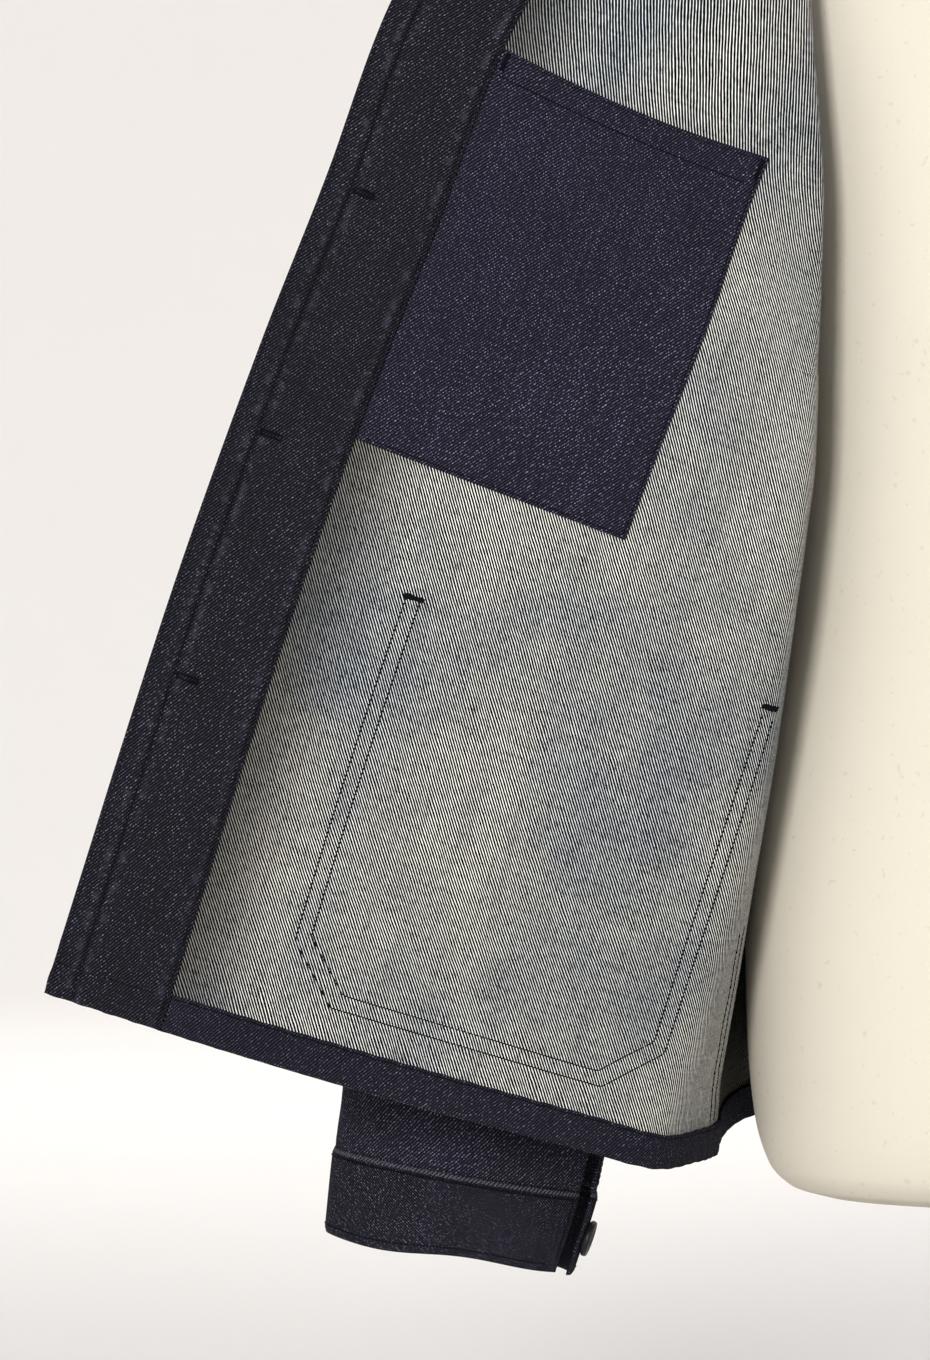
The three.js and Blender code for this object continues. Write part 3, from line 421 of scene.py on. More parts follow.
def sleeve_points(right, q, t):
    q, t = np.broadcast_arrays(np.asarray(q, float), np.asarray(t, float))
    drift = SEAM_DRIFT * smooth(t, 0.1, 1)
    vent = VENT_ANGLE * smooth(t, 0.86, 0.99)
    turn = math.pi - drift + vent + q * (2 * math.pi - 2 * vent)
    first = SLEEVE["t"][0]
    at = {name: read(SLEEVE, name, np.maximum(t, first)) for name in SLEEVE if name != "t"}
    cosine = np.cos(turn)
    x = (at["outX"] + at["inX"]) / 2 + (at["outX"] - at["inX"]) / 2 * cosine
    y = at["midY"] - at["deep"] * np.sin(turn)
    z = (at["outZ"] + at["inZ"]) / 2 + (at["outZ"] - at["inZ"]) / 2 * cosine
    points = np.stack([x, y, z], -1)
    seat = armhole_point(turn)
    seat[..., 0] -= SEAM
    k = np.clip(t / first, 0, 1)[..., None]
    points = np.where(t[..., None] < first, seat * (1 - k) + points * k, points)
    near = np.minimum(q, 1 - q) < 1e-6
    points[..., 1] += np.where(near, np.where(q < 0.5, SEAM / 2, -SEAM / 2), 0)
    if not right:
        points[..., 0] *= -1
    return points


def sleeve_panel(right, t, columns, seed):
    q = np.linspace(0, 1, columns)
    points = sleeve_points(right, q[None, :], t[:, None])
    steps = np.linalg.norm(np.diff(points, axis=1), axis=2)
    u = np.concatenate([np.zeros((len(t), 1)), np.cumsum(steps, axis=1)], axis=1)
    v = np.repeat((t * 580)[:, None], columns, 1)
    facing = -1 if right else 1
    panel = Panel(points, t, facing, u, v)
    if t[0] == 0:
        turn = math.pi + q * 2 * math.pi
        side = -0.5 if right else 0.5
        panel.normals[0] = unit(np.stack([np.full(columns, side), -np.sin(turn), np.cos(turn)], -1))
    return panel


SLEEVE_T = np.linspace(0, 1, 132)
CUFF_T = np.linspace(1.0002, 1.08, 18)
sleeves = {}
cuffs = {}
for right in (True, False):
    panel = sleeve_panel(right, SLEEVE_T, 92, 1)
    u, v = panel.u, panel.v
    wide = u[:, -1:]
    relief = (
        crease(u, v, [(60, 70), (120, 120), (190, 130)], 18, -3.4, 1)
        + crease(u, v, [(300, 90), (250, 150), (200, 160)], 18, -3.0, 2)
        + crease(u, v, [(20, 250), (90, 268), (150, 240)], 13, -4.0, 3)
        + crease(u, v, [(10, 300), (80, 300), (140, 330)], 12, -3.6, 4)
        + crease(u, v, [(290, 235), (240, 262), (170, 280)], 14, -3.4, 5)
        + crease(u, v, [(40, 380), (110, 400), (170, 372)], 15, -2.6, 6)
        + crease(u, v, [(230, 430), (180, 462), (120, 455)], 14, -2.4, 7)
        + crease(u, v, [(40, 520), (100, 505), (170, 528)], 11, -1.8, 8)
        + crease(u, v, [(150, 560), (190, 540), (240, 556)], 10, 1.4, 9)
    )
    hold = smooth(v, 0, 30) * smooth(580 - v, 0, 20) * smooth(u, 0, 14) * smooth(wide - u, 0, 14)
    pucker = 0.3 * np.sin(2 * np.pi * u / 11) * smooth(v, 540, 575) * smooth(581 - v, 0, 4)
    panel.crumple(relief * hold + pucker * smooth(u, 0, 14) * smooth(wide - u, 0, 14))
    turn = math.pi + np.linspace(0, 1, 92) * 2 * math.pi
    side = -0.5 if right else 0.5
    panel.normals[0] = unit(np.stack([np.full(92, side), -np.sin(turn), np.cos(turn)], -1))
    sleeves[right] = panel
    cuff = sleeve_panel(right, CUFF_T, 92, 2)
    u = cuff.u
    sway = np.sin(u / 24 + 0.4) + 0.5 * np.sin(u / 11 + 2.0)
    cuff.points[..., 2] -= 1.5 * sway * ((CUFF_T - 1) / 0.08)[:, None] ** 1.5
    cuff.crumple(0.35 * np.sin(u / 21 + 1.0) * smooth(u, 0, 20) * smooth(u[:, -1:] - u, 0, 20))
    cuffs[right] = cuff


# Meshes

def make_object(name, points, faces, uv=None):
    mesh = bpy.data.meshes.new(name)
    lifted = (np.asarray(points, float) + np.array([0, 0, STAND_LIFT])) * 0.001
    mesh.from_pydata([tuple(p) for p in lifted], [], [tuple(int(i) for i in f) for f in faces])
    mesh.validate()
    if uv is not None:
        layer = mesh.uv_layers.new(name="pattern")
        index = np.empty(len(mesh.loops), dtype=np.int32)
        mesh.loops.foreach_get("vertex_index", index)
        layer.data.foreach_set("uv", np.asarray(uv, dtype=np.float32)[index].ravel())
    mesh.polygons.foreach_set("use_smooth", np.ones(len(mesh.polygons), dtype=bool))
    obj = bpy.data.objects.new(name, mesh)
    bpy.context.scene.collection.objects.link(obj)
    return obj


def wall(name, points, normals, high, low, uv):
    """A closed wall of cloth between two distances along the normals of a grid of points."""
    rows, columns = points.shape[:2]
    high = np.broadcast_to(high, (rows, columns))[..., None]
    low = np.broadcast_to(low, (rows, columns))[..., None]
    outer = (points + normals * high).reshape(-1, 3)
    inner = (points + normals * low).reshape(-1, 3)
    count = rows * columns
    grid = np.arange(count).reshape(rows, columns)
    a, b, c, d = grid[:-1, :-1], grid[:-1, 1:], grid[1:, 1:], grid[1:, :-1]
    top = np.stack([a, b, c, d], -1).reshape(-1, 4)
    bottom = np.stack([a, d, c, b], -1).reshape(-1, 4) + count
    ring = np.concatenate([grid[0, :-1], grid[:-1, -1], grid[-1, :0:-1], grid[:0:-1, 0]])
    after = np.roll(ring, -1)
    rim = np.stack([ring, ring + count, after + count, after], -1)
    middle = normals[rows // 2, columns // 2]
    p = points[rows // 2, columns // 2]
    q = points[rows // 2, min(columns // 2 + 1, columns - 1)]
    r = points[min(rows // 2 + 1, rows - 1), columns // 2]
    faces = np.vstack([top, bottom, rim])
    if np.dot(np.cross(q - p, r - p), middle) < 0:
        faces = faces[:, ::-1]
    return make_object(name, np.vstack([outer, inner]), faces, np.vstack([uv.reshape(-1, 2)] * 2))


def positions(low, high, step, fine=(0.5, 1.3)):
    """Places from low to high about a step apart, closer together at both ends."""
    count = max(2, int(round((high - low - 2 * fine[-1]) / step)))
    middle = np.linspace(low + fine[-1], high - fine[-1], count + 1)
    near = [low] + [low + f for f in fine[:-1]]
    far = [high - f for f in fine[:-1]][::-1] + [high]
    return np.concatenate([near, middle, far])


def rounded(distance, radius=1.0, least=0.35):
    """How much of its thickness cloth keeps at a distance from its edge."""
    k = np.clip(1 - np.asarray(distance, float) / radius, 0, 1)
    return least + (1 - least) * np.sqrt(1 - k**2)


def panel_wall(name, panel, thick=CLOTH):
    uv = np.stack([panel.u, panel.v], -1)
    return wall(name, panel.points, panel.normals, 0.0, -thick, uv)


def layer(name, panel, s_of, us, vs, high, low, push=None):
    """Cloth lying on a panel, with its places given as distances on the pattern."""
    share = edge_share(vs)[:, None]
    grid_u = np.broadcast_to(us, (len(vs), len(us)))
    points, normals = panel.at(s_of(grid_u, share), share)
    du = np.minimum(us - us[0], us[-1] - us)[None, :]
    dv = np.minimum(vs - vs[0], vs[-1] - vs)[:, None]
    keep = rounded(np.minimum(du, dv))
    middle, half = (high + low) / 2, abs(high - low) / 2
    offset = 0 if push is None else push(grid_u, vs[:, None])
    uv = np.stack([grid_u, np.broadcast_to(vs[:, None], grid_u.shape)], -1)
    return wall(name, points, normals, middle + half * keep + offset, middle - half * keep + offset, uv)


INSIDE_HIGH = -CLOTH - SEAM
INSIDE_LOW = -2 * CLOTH - SEAM
INSIDE_FACE = INSIDE_LOW - 0.05
WRONG_SIDE = -CLOTH - 0.05

pieces = {}
pieces["right_front"] = panel_wall("visual_right_front", right_front)
pieces["left_front"] = panel_wall("visual_left_front", left_front)
pieces["back"] = panel_wall("visual_back", back)



def facing_push(gu, gv):
    """The facing's folded inner edge stands up a little and is roped by its stitches."""
    from_edge = FACING_WIDTH - gu
    ridge = 0.55 * np.exp(-((from_edge - 4.5) / 3.2) ** 2) + 0.25 * np.exp(-from_edge / 1.5)
    rope = 0.3 * np.sin(gv / 2.6 + 1.6 * np.sin(gv / 23)) * np.exp(-from_edge / 6.0)
    seam = 0.28 * np.exp(-(((gu - 16) / 3.0) ** 2)) - 0.2 * np.exp(-(((gu - 11.8) / 1.4) ** 2))
    ripple = 0.16 * np.sin(gv / 3.1 + 2.0 * np.sin(gv / 31)) * np.exp(-(((gu - 12) / 5.0) ** 2))
    edge = 0.22 * np.sin(gv / 4.4 + 1.1 * np.sin(gv / 17)) * np.exp(-gu / 4.0)
    return -(ridge + rope + seam + ripple + edge)


facing_v = positions(0, FRONT_LENGTH, 2.2)
pieces["right_facing"] = layer(
    "visual_right_facing", right_front, across_open,
    positions(0, FACING_WIDTH, 2.6), facing_v, INSIDE_HIGH, INSIDE_LOW,
    facing_push,
)
front_hem_end = float(open_lengths[0]) - 2.5
pieces["right_front_hem"] = layer(
    "visual_right_front_hem", right_front, across_open,
    positions(FACING_WIDTH + 0.5, front_hem_end, 2.6), positions(0, HEM_TURN, 2.2), INSIDE_HIGH, INSIDE_LOW,
    lambda gu, gv: -0.18 * np.sin((gu + 0.7 * gv) / 2.1) * smooth(gv, 6, 15),
)


def share_across(panel):
    """For a closed panel, the share across at a distance from its first edge."""
    def s_of(gu, share):
        width = np.interp(share, panel.shares, panel.u[:, -1])
        return np.asarray(gu, float) / width
    return s_of


across_left = share_across(left_front)
across_back = share_across(back)
left_width = float(left_front.u[0, -1])
back_width = float(back.u[0, -1])
hem_push = lambda gu, gv: -0.15 * np.sin((gu + 0.7 * gv) / 2.1) * smooth(gv, 6, 15)
pieces["left_front_hem"] = layer(
    "visual_left_front_hem", left_front, across_left,
    positions(0, left_width - 3, 4.0), positions(0, HEM_TURN, 2.6), INSIDE_HIGH, INSIDE_LOW, hem_push,
)
pieces["back_hem"] = layer(
    "visual_back_hem", back, across_back,
    positions(3, back_width - 3, 4.0), positions(0, HEM_TURN, 2.6), INSIDE_HIGH, INSIDE_LOW, hem_push,
)


def pocket_mouth(gu, gv):
    """The inner pocket's upper edge stands a little off the front."""
    k = (gu - INNER_POCKET["left"]) / (INNER_POCKET["right"] - INNER_POCKET["left"])
    up = (gv - INNER_POCKET["bottom"]) / (INNER_POCKET["top"] - INNER_POCKET["bottom"])
    belly = np.sin(np.pi * np.clip(k, 0, 1))
    gape = -INNER_POCKET["gape"] * belly * np.clip(up, 0, 1) ** 3
    slack = -0.5 * np.sin(k * 9 + 3 * up) * belly * np.sin(np.pi * np.clip(up, 0, 1))
    return gape + slack


pocket = INNER_POCKET
pocket_u = positions(pocket["left"], pocket["right"], 2.8)
pocket_v = positions(pocket["bottom"], pocket["top"], 2.8)
share = edge_share(pocket_v)[:, None]
grid_u = np.broadcast_to(pocket_u, (len(pocket_v), len(pocket_u)))
pocket_points, pocket_normals = right_front.at(across_open(grid_u, share), share)
k = (grid_u - pocket["left"]) / (pocket["right"] - pocket["left"])
up = ((pocket_v - pocket["bottom"]) / (pocket["top"] - pocket["bottom"]))[:, None]
pocket_points = pocket_points.copy()
pocket_points[..., 2] -= pocket["sag"] * np.sin(np.pi * k) * up**6
mouth = pocket_mouth(grid_u, pocket_v[:, None])
near = np.minimum(
    np.minimum(pocket_u - pocket_u[0], pocket_u[-1] - pocket_u)[None, :],
    np.minimum(pocket_v - pocket_v[0], pocket_v[-1] - pocket_v)[:, None],
)
keep = rounded(near)
middle = (INSIDE_HIGH + INSIDE_LOW) / 2
half = CLOTH / 2
pocket_uv = np.stack([grid_u, np.broadcast_to(pocket_v[:, None], grid_u.shape)], -1)
pieces["inner_pocket"] = wall(
    "visual_inner_pocket", pocket_points, pocket_normals,
    middle + half * keep + mouth, middle - half * keep + mouth, pocket_uv,
)
pocket_face = Panel(
    pocket_points + pocket_normals * (middle - half + mouth)[..., None], pocket_v, -1,
    grid_u, np.broadcast_to(pocket_v[:, None], grid_u.shape),
)


def mouth_slant(k):
    return HIP_POCKET["slant"] * np.asarray(k, float)


def hip_pocket(name, panel, s_of, left, right):
    """A patch pocket on the outside, with clipped lower corners."""
    top, bottom, corner = HIP_POCKET["top"], HIP_POCKET["bottom"], HIP_POCKET["corner"]
    vs = positions(bottom, top, 3.2)
    k = positions(0, 1, 0.02, (0.004, 0.012))
    narrowed = np.clip(corner - (vs - bottom), 0, corner)[:, None]
    gu = left + narrowed + (right - left - 2 * narrowed) * k[None, :]
    gv = vs[:, None] + mouth_slant(k)[None, :] * ((vs - bottom) / (top - bottom))[:, None]
    share = edge_share(gv)
    points, normals = panel.at(s_of(gu, share), share)
    near = np.minimum(np.minimum(gu - gu[:, :1], gu[:, -1:] - gu), np.minimum(vs - bottom, top - vs)[:, None])
    keep = rounded(near)
    middle, half = SEAM + CLOTH / 2, CLOTH / 2
    uv = np.stack([gu, gv], -1)
    return wall(name, points, normals, middle + half * keep, middle - half * keep, uv)


LEFT_POCKET = (66.0, 238.0)
pieces["right_hip_pocket"] = hip_pocket(
    "visual_right_hip_pocket", right_front, across_open, HIP_POCKET["left"], HIP_POCKET["right"]
)
pieces["left_hip_pocket"] = hip_pocket("visual_left_hip_pocket", left_front, across_left, *LEFT_POCKET)

for right in (True, False):
    side = "right" if right else "left"
    pieces[f"{side}_sleeve"] = panel_wall(f"visual_{side}_sleeve", sleeves[right])
    cuff = cuffs[right]
    uv = np.stack([cuff.u, cuff.v], -1)
    du = np.minimum(cuff.u, cuff.u[:, -1:] - cuff.u)
    dv = np.minimum(cuff.v - cuff.v[0], cuff.v[-1] - cuff.v)
    keep = rounded(np.minimum(du, dv), 1.4)
    middle, half = CUFF_STEP - CUFF_CLOTH / 2, CUFF_CLOTH / 2
    pieces[f"{side}_cuff"] = wall(
        f"visual_{side}_cuff", cuff.points, cuff.normals, middle + half * keep, middle - half * keep, uv
    )


# Collar, along the necklines of the left front, the back and the open front

LEFT_ALONG = 0.3
BACK_ALONG = 0.64
POINT_REACH = 20.0
open_start = 26.0 / float(open_lengths[-1])


def neckline(along):
    if along <= LEFT_ALONG:
        return left_front.at(mix(1 / 13, 1, along / LEFT_ALONG), 1.0)
    if along <= BACK_ALONG:
        return back.at(1 - (along - LEFT_ALONG) / (BACK_ALONG - LEFT_ALONG), 1.0)
    return right_front.at(mix(1, open_start, (along - BACK_ALONG) / (1 - BACK_ALONG)), 1.0)


collar_along = np.linspace(0, 1, 150)
collar_across = np.linspace(0, 1, 30)
collar_points = np.zeros((30, 150, 3))
collar_start_normals = np.zeros((150, 3))
collar_u = np.zeros((30, 150))
collar_v = np.zeros((30, 150))
FINE = np.linspace(0, 1, 117)
for i, along in enumerate(collar_along):
    here, normal = neckline(along)
    path = neckline(min(along + 0.012, 1))[0] - neckline(max(along - 0.012, 0))[0]
    outwards = unit(np.array([path[1], -path[0], 0.0]))
    rise = unit(np.cross(path, normal))
    lean = math.radians(float(read(COLLAR, "lean", along)))
    roll = math.radians(float(read(COLLAR, "roll", along)))
    length = float(read(COLLAR, "length", along))
    roll = roll + 0.05 * math.sin(17 * along)
    start = here + rise * 0.5 * np.sign(rise[2])
    near_end = max(0, 1 - min(along, 1 - along) / 0.1)
    forward = -1 if along < 0.5 else 1
    flat_path = unit(np.array([path[0], path[1], 0.0]))
    angle = -lean + roll * smooth(FINE, 0.12, 0.5)
    middle = (angle[1:] + angle[:-1]) / 2
    step = length / (len(FINE) - 1)
    out_run = np.concatenate([[0], np.cumsum(np.sin(middle)) * step])
    up_run = np.concatenate([[0], np.cumsum(np.cos(middle)) * step])
    out = np.interp(collar_across, FINE, out_run)
    high = np.interp(collar_across, FINE, up_run)
    reach = forward * POINT_REACH * near_end**2 * collar_across**2
    collar_points[:, i] = start + outwards * out[:, None] + np.array([0, 0, 1.0]) * high[:, None]
    collar_points[:, i] += flat_path * reach[:, None]
    collar_start_normals[i] = normal
    collar_v[:, i] = collar_across * length
    collar_u[:, i] = along * 520
collar = Panel(collar_points, collar_across, 1, collar_u, collar_v)
collar_relief = (
    crease(collar_u, collar_v, [(60, 60), (110, 78), (150, 66)], 12, 1.6, 3)
    + crease(collar_u, collar_v, [(210, 50), (250, 70), (300, 60)], 12, -1.6, 5)
    + crease(collar_u, collar_v, [(400, 40), (440, 62), (480, 58)], 14, 2.0, 7)
)
collar.crumple(collar_relief * smooth(collar_v, 12, 40))
collar.normals[0] = collar_start_normals
near = np.minimum(
    np.minimum(collar_u, collar_u[:, -1:] - collar_u), np.minimum(collar_v, collar_v[-1] - collar_v)
)
keep = rounded(near, 2.2)
pieces["collar"] = wall(
    "visual_collar", collar.points, collar.normals,
    -COLLAR_CLOTH / 2 + COLLAR_CLOTH / 2 * keep, -COLLAR_CLOTH / 2 - COLLAR_CLOTH / 2 * keep,
    np.stack([collar_u, collar_v], -1),
)


# Dress form and stand

def ringed(name, rings):
    """A closed body from rings of points, the first and last closed by a middle point."""
    count = len(rings[0])
    points = np.vstack(list(rings) + [rings[0].mean(0)[None], rings[-1].mean(0)[None]])
    faces = []
    for j in range(len(rings) - 1):
        for i in range(count):
            n = (i + 1) % count
            faces.append((j * count + i, j * count + n, (j + 1) * count + n, (j + 1) * count + i))
    first, last = len(points) - 2, len(points) - 1
    top = (len(rings) - 1) * count
    for i in range(count):
        n = (i + 1) % count
        faces.append((first, n, i))
        faces.append((last, top + i, top + n))
    return make_object(name, points, faces)


def oval(wide, front, back_depth, z, power, count):
    theta = 2 * math.pi * np.arange(count) / count
    sine, cosine = np.sin(theta), np.cos(theta)
    deep = np.where(sine < 0, front, back_depth)
    x = wide * np.sign(cosine) * np.abs(cosine) ** (2 / power)
    y = deep * np.sign(sine) * np.abs(sine) ** (2 / power)
    return np.stack([x, y, np.full(count, z)], -1)


form_z = np.concatenate([35 * np.linspace(0, 1, 22) ** 2, np.linspace(40, 690, 150)])
form_rings = [oval(30 + 0 * form_z[0], 20, 20, -0.0, 2.15, 120)]
form_rings = [oval(112, 62, 62, 0.0, 2.15, 120)]
for z in form_z:
    sizes = [float(read(FORM, side, z)) for side in ("wide", "front", "back")]
    form_rings.append(oval(*sizes, z, 2.15, 120))
pieces["form_torso"] = ringed("visual_form_torso", form_rings)


def turned(name, profile, z, count=96):
    return ringed(name, [oval(max(r, 0.01), max(r, 0.01), max(r, 0.01), z + h, 2.0, count) for r, h in profile])


def softened(radius, height, edge):
    """Profile of a disc whose upper edge is rounded."""
    turn = np.linspace(0, math.pi / 2, 9)
    rounding = [(radius - edge + edge * math.cos(a), height - edge + edge * math.sin(a)) for a in turn]
    return [(radius * 0.5, 0), (radius - 0.6, 0), (radius, 0.6), *rounding, (radius * 0.5, height)]


pieces["form_neck_cap"] = turned("visual_form_neck_cap", softened(54, 12, 4), 690 + SEAM)
pole_top = STAND_LIFT - 20 - 2 * SEAM
pieces["stand_pole"] = turned(
    "visual_stand_pole", [(7, 0), (14, 0), (14, pole_top / 2), (14, pole_top), (7, pole_top)], 20 + SEAM - STAND_LIFT, 48
)
pieces["stand_base"] = turned(
    "visual_stand_base",
    [(80, 0), (159, 0), (160, 1), (160, 9), (159, 12.5), (155.5, 15.6), (150, 17.2), (110, 18.6), (64, 19.8), (30, 20)],
    -STAND_LIFT, 120,
)


# Buttons: a dished disc on its four strands of thread

def frame_of(normal):
    normal = unit(np.asarray(normal, float))
    level = unit(np.cross([0, 0, 1.0], normal))
    return np.stack([level, np.cross(normal, level), normal])


BUTTON_PROFILE = [(4, 0), (7.6, 0), (8.5, 0.8), (8.5, 2.1), (8.1, 2.8), (7.4, 3.0), (6.5, 2.9), (5.4, 2.3), (3.6, 2.0), (1.6, 1.95)]


def button(name, point, normal, lift):
    axes = frame_of(normal)
    base = point + axes[2] * lift
    rings = []
    for radius, height in BUTTON_PROFILE:
        theta = 2 * math.pi * np.arange(40) / 40
        flat = np.stack([radius * np.cos(theta), radius * np.sin(theta), np.full(40, height)], -1)
        rings.append(base + flat @ axes)
    body = ringed(name, rings)
    ends = []
    for x, y in ((-1.7, -1.7), (-1.7, 1.7)):
        ends.append((base + np.array([x, y, 2.1]) @ axes, base + np.array([-x, y, 2.1]) @ axes, axes[2]))
        ends.append((base + np.array([x, y + 0.3, 2.2]) @ axes, base + np.array([-x, y - 0.3, 2.2]) @ axes, axes[2]))
    return body, ends


# Threads

stitch_sets = {}


def add_stitches(group, starts, ends, normals, radius):
    stitch_sets.setdefault(group, []).append(
        (np.atleast_2d(starts), np.atleast_2d(ends), np.atleast_2d(normals), radius)
    )


def row_of_stitches(group, points, normals, pitch=2.9, length=2.8, radius=0.32, jitter=0.05):
    run = np.concatenate([[0], np.cumsum(np.linalg.norm(np.diff(points, axis=0), axis=1))])
    count = int((run[-1] - length) / pitch)
    if count < 1:
        return
    starts = 0.4 + pitch * np.arange(count) + dice.uniform(-jitter, jitter, count)
    ends = starts + length + dice.uniform(-jitter, jitter, count)

    def pick(at, values):
        return np.stack([np.interp(at, run, values[:, k]) for k in range(3)], -1)

    middle = unit(pick((starts + ends) / 2, normals))
    add_stitches(group, pick(starts, points), pick(ends, points), middle, radius)


def stitched_path(group, panel, s_of, path, lift, inside=True, share_of=edge_share, **options):
    """A row of stitches along a path on the pattern, on the inner or the outer side."""
    path = np.array(path, float)
    parts = []
    for a, b in zip(path[:-1], path[1:]):
        count = max(2, int(np.linalg.norm(b - a) / 1.2))
        parts.append(a + (b - a) * np.linspace(0, 1, count)[:, None])
    line = np.vstack(parts)
    share = share_of(line[:, 1])
    points, normals = panel.at(s_of(line[:, 0], share), share)
    points = points + normals * lift
    row_of_stitches(group, points, -normals if inside else normals, **options)


def bar_tack(group, panel, s_of, a, b, lift, inside=True, width=2.4, gap=0.5, radius=0.27):
    a, b = np.array(a, float), np.array(b, float)
    length = np.linalg.norm(b - a)
    along = (b - a) / length
    sideways = np.array([-along[1], along[0]])
    count = int(length / gap)
    middle = a + along * (gap * (np.arange(count) + 0.5))[:, None]
    wobble = dice.uniform(-0.4, 0.4, (count, 1))
    lean = along * 0.35
    low = middle - sideways * (width / 2 + wobble) - lean
    high = middle + sideways * (width / 2 + wobble) + lean
    ends = []
    for line in (low, high):
        share = edge_share(line[:, 1])
        points, normals = panel.at(s_of(line[:, 0], share), share)
        ends.append(points + normals * lift)
    facing = -normals if inside else normals
    add_stitches(group, ends[0] + facing * 0.12, ends[1] + facing * 0.12, facing, radius)


def inside_open(path, lift=WRONG_SIDE, **options):
    stitched_path("stitches_right_front", right_front, across_open, path, lift, True, **options)


def outside_open(path, lift=0.05, **options):
    stitched_path("stitches_right_front_face", right_front, across_open, path, lift, False, **options)


# The open front's inside
inside_open([(51.2, 2), (51.2, 538)], INSIDE_FACE)
inside_open([(11.8, 2), (11.8, 538)], INSIDE_FACE, radius=0.2)
inside_open([(1.8, 1), (1.8, 538)], INSIDE_FACE, radius=0.18)
inside_open([(0.8, 14.2), (52, 14.2)], INSIDE_FACE, radius=0.22)
inside_open([(54.5, 14.4), (front_hem_end - 0.5, 14.4)], INSIDE_FACE)
hip = HIP_POCKET
for inset in (1.6, 8.0):
    left, right_side = hip["left"] + inset, hip["right"] - inset
    low, cut = hip["bottom"] + inset, hip["corner"] - 0.4 * inset
    inside_open([
        (left, hip["top"] - 1), (left, low + cut), (left + cut, low), (right_side - cut, low),
        (right_side, low + cut), (right_side, hip["top"] + hip["slant"] - 1),
    ], WRONG_SIDE, radius=0.29)
for start, lift in ((hip["left"], 0), (hip["right"] - 9.6, hip["slant"])):
    bar_tack(
        "stitches_right_front", right_front, across_open,
        (start, hip["top"] + lift - 1), (start + 9.6, hip["top"] + lift - 1), WRONG_SIDE, width=2.6, radius=0.34,
    )
for height in (LOWEST_BUTTON + k * BUTTON_SPACING for k in range(4)):
    for shift in (-1.0, 1.0):
        bar_tack(
            "stitches_right_front", right_front, across_open,
            (13.5, height + shift), (23.0, height + shift), INSIDE_FACE, width=1.3, gap=0.42, radius=0.2,
        )
    for end in (13.4, 22.6):
        bar_tack(
            "stitches_right_front", right_front, across_open,
            (end, height - 1.5), (end, height + 1.5), INSIDE_FACE, width=1.1, gap=0.45, radius=0.22,
        )
seam_u = float(open_lengths[0])
seam_heights = np.linspace(18, 368, 60)
for inset in (3.2, 9.6):
    path = [(float(np.interp(edge_share(h), SHARES, open_lengths)) - inset, h) for h in seam_heights]
    inside_open([place for place in path if place[1] > 150], WRONG_SIDE)
    outside_open(path)
# Low down the side seam's two rows lie on the turned side of the front
inside_open([(356, 17), (338, 30), (329, 45), (325, 60), (321, 75), (316, 90), (311, 105), (303, 120)], WRONG_SIDE)
inside_open([(341, 17), (330, 30), (322.7, 45), (317, 60), (313, 75), (308, 90), (303.5, 105), (295, 120)], WRONG_SIDE)

# The inner pocket


def on_pocket(path, **options):
    path = np.array(path, float)
    parts = []
    for a, b in zip(path[:-1], path[1:]):
        count = max(2, int(np.linalg.norm(b - a) / 1.2))
        parts.append(a + (b - a) * np.linspace(0, 1, count)[:, None])
    line = np.vstack(parts)
    columns = np.interp(line[:, 0], pocket_u, np.arange(len(pocket_u))) / (len(pocket_u) - 1)
    points, normals = pocket_face.at(columns, line[:, 1])
    row_of_stitches("stitches_inner_pocket", points - normals * 0.05, -normals, **options)


low, high = pocket["bottom"], pocket["top"]
wide = pocket["right"]
on_pocket([(wide - 1.8, high - 1), (wide - 1.8, low + 1.8), (pocket["left"] + 1, low + 1.8)], radius=0.23)
on_pocket([(pocket["left"] + 1, high - 11), (wide - 1, high - 11)], radius=0.26)
on_pocket([(pocket["left"] + 1, high - 1.6), (wide - 1, high - 1.6)], radius=0.16)
for tack_u in (pocket["left"] + 2.6, wide - 2.6):
    k_tack = (tack_u - pocket["left"]) / (wide - pocket["left"])
    for step in np.arange(0, 7.5, 0.55):
        place = np.array([[tack_u - 1.1, high - 1.2 - step], [tack_u + 1.1, high - 1.4 - step]])
        columns = np.interp(place[:, 0], pocket_u, np.arange(len(pocket_u))) / (len(pocket_u) - 1)
        points, normals = pocket_face.at(columns, place[:, 1])
        add_stitches("stitches_inner_pocket", points[0] - normals[0] * 0.15, points[1] - normals[1] * 0.15, -normals[0], 0.27)

# Outsides of the open front and the left front
outside_open([(2.2, 2), (2.2, 538)], radius=0.22)
outside_open([(12, 14), (12, 538)], radius=0.22)
outside_open([(51.2, 2), (51.2, 538)], radius=0.22)
outside_open([(2, 14.4), (seam_u - 2, 14.4)])


def pocket_rows(group, panel, s_of, left, right_side):
    for inset in (1.6, 8.0):
        low, cut = hip["bottom"] + inset, hip["corner"] - 0.4 * inset
        stitched_path(group, panel, s_of, [
            (left + inset, hip["top"] - 1), (left + inset, low + cut), (left + inset + cut, low),
            (right_side - inset - cut, low), (right_side - inset, low + cut),
            (right_side - inset, hip["top"] + hip["slant"] - 1),
        ], SEAM + CLOTH + 0.05, False)
    for drop in (2.0, 24.0):
        stitched_path(
            group, panel, s_of,
            [(left + 1, hip["top"] - drop), (right_side - 1, hip["top"] + hip["slant"] - drop)],
            SEAM + CLOTH + 0.05, False,
        )
    for start, lift in ((left, 0), (right_side - 9.6, hip["slant"])):
        bar_tack(
            group, panel, s_of, (start, hip["top"] + lift - 1), (start + 9.6, hip["top"] + lift - 1),
            SEAM + CLOTH + 0.05, False,
        )


pocket_rows("stitches_right_front_face", right_front, across_open, hip["left"], hip["right"])
pocket_rows("stitches_left_front", left_front, across_left, *LEFT_POCKET)


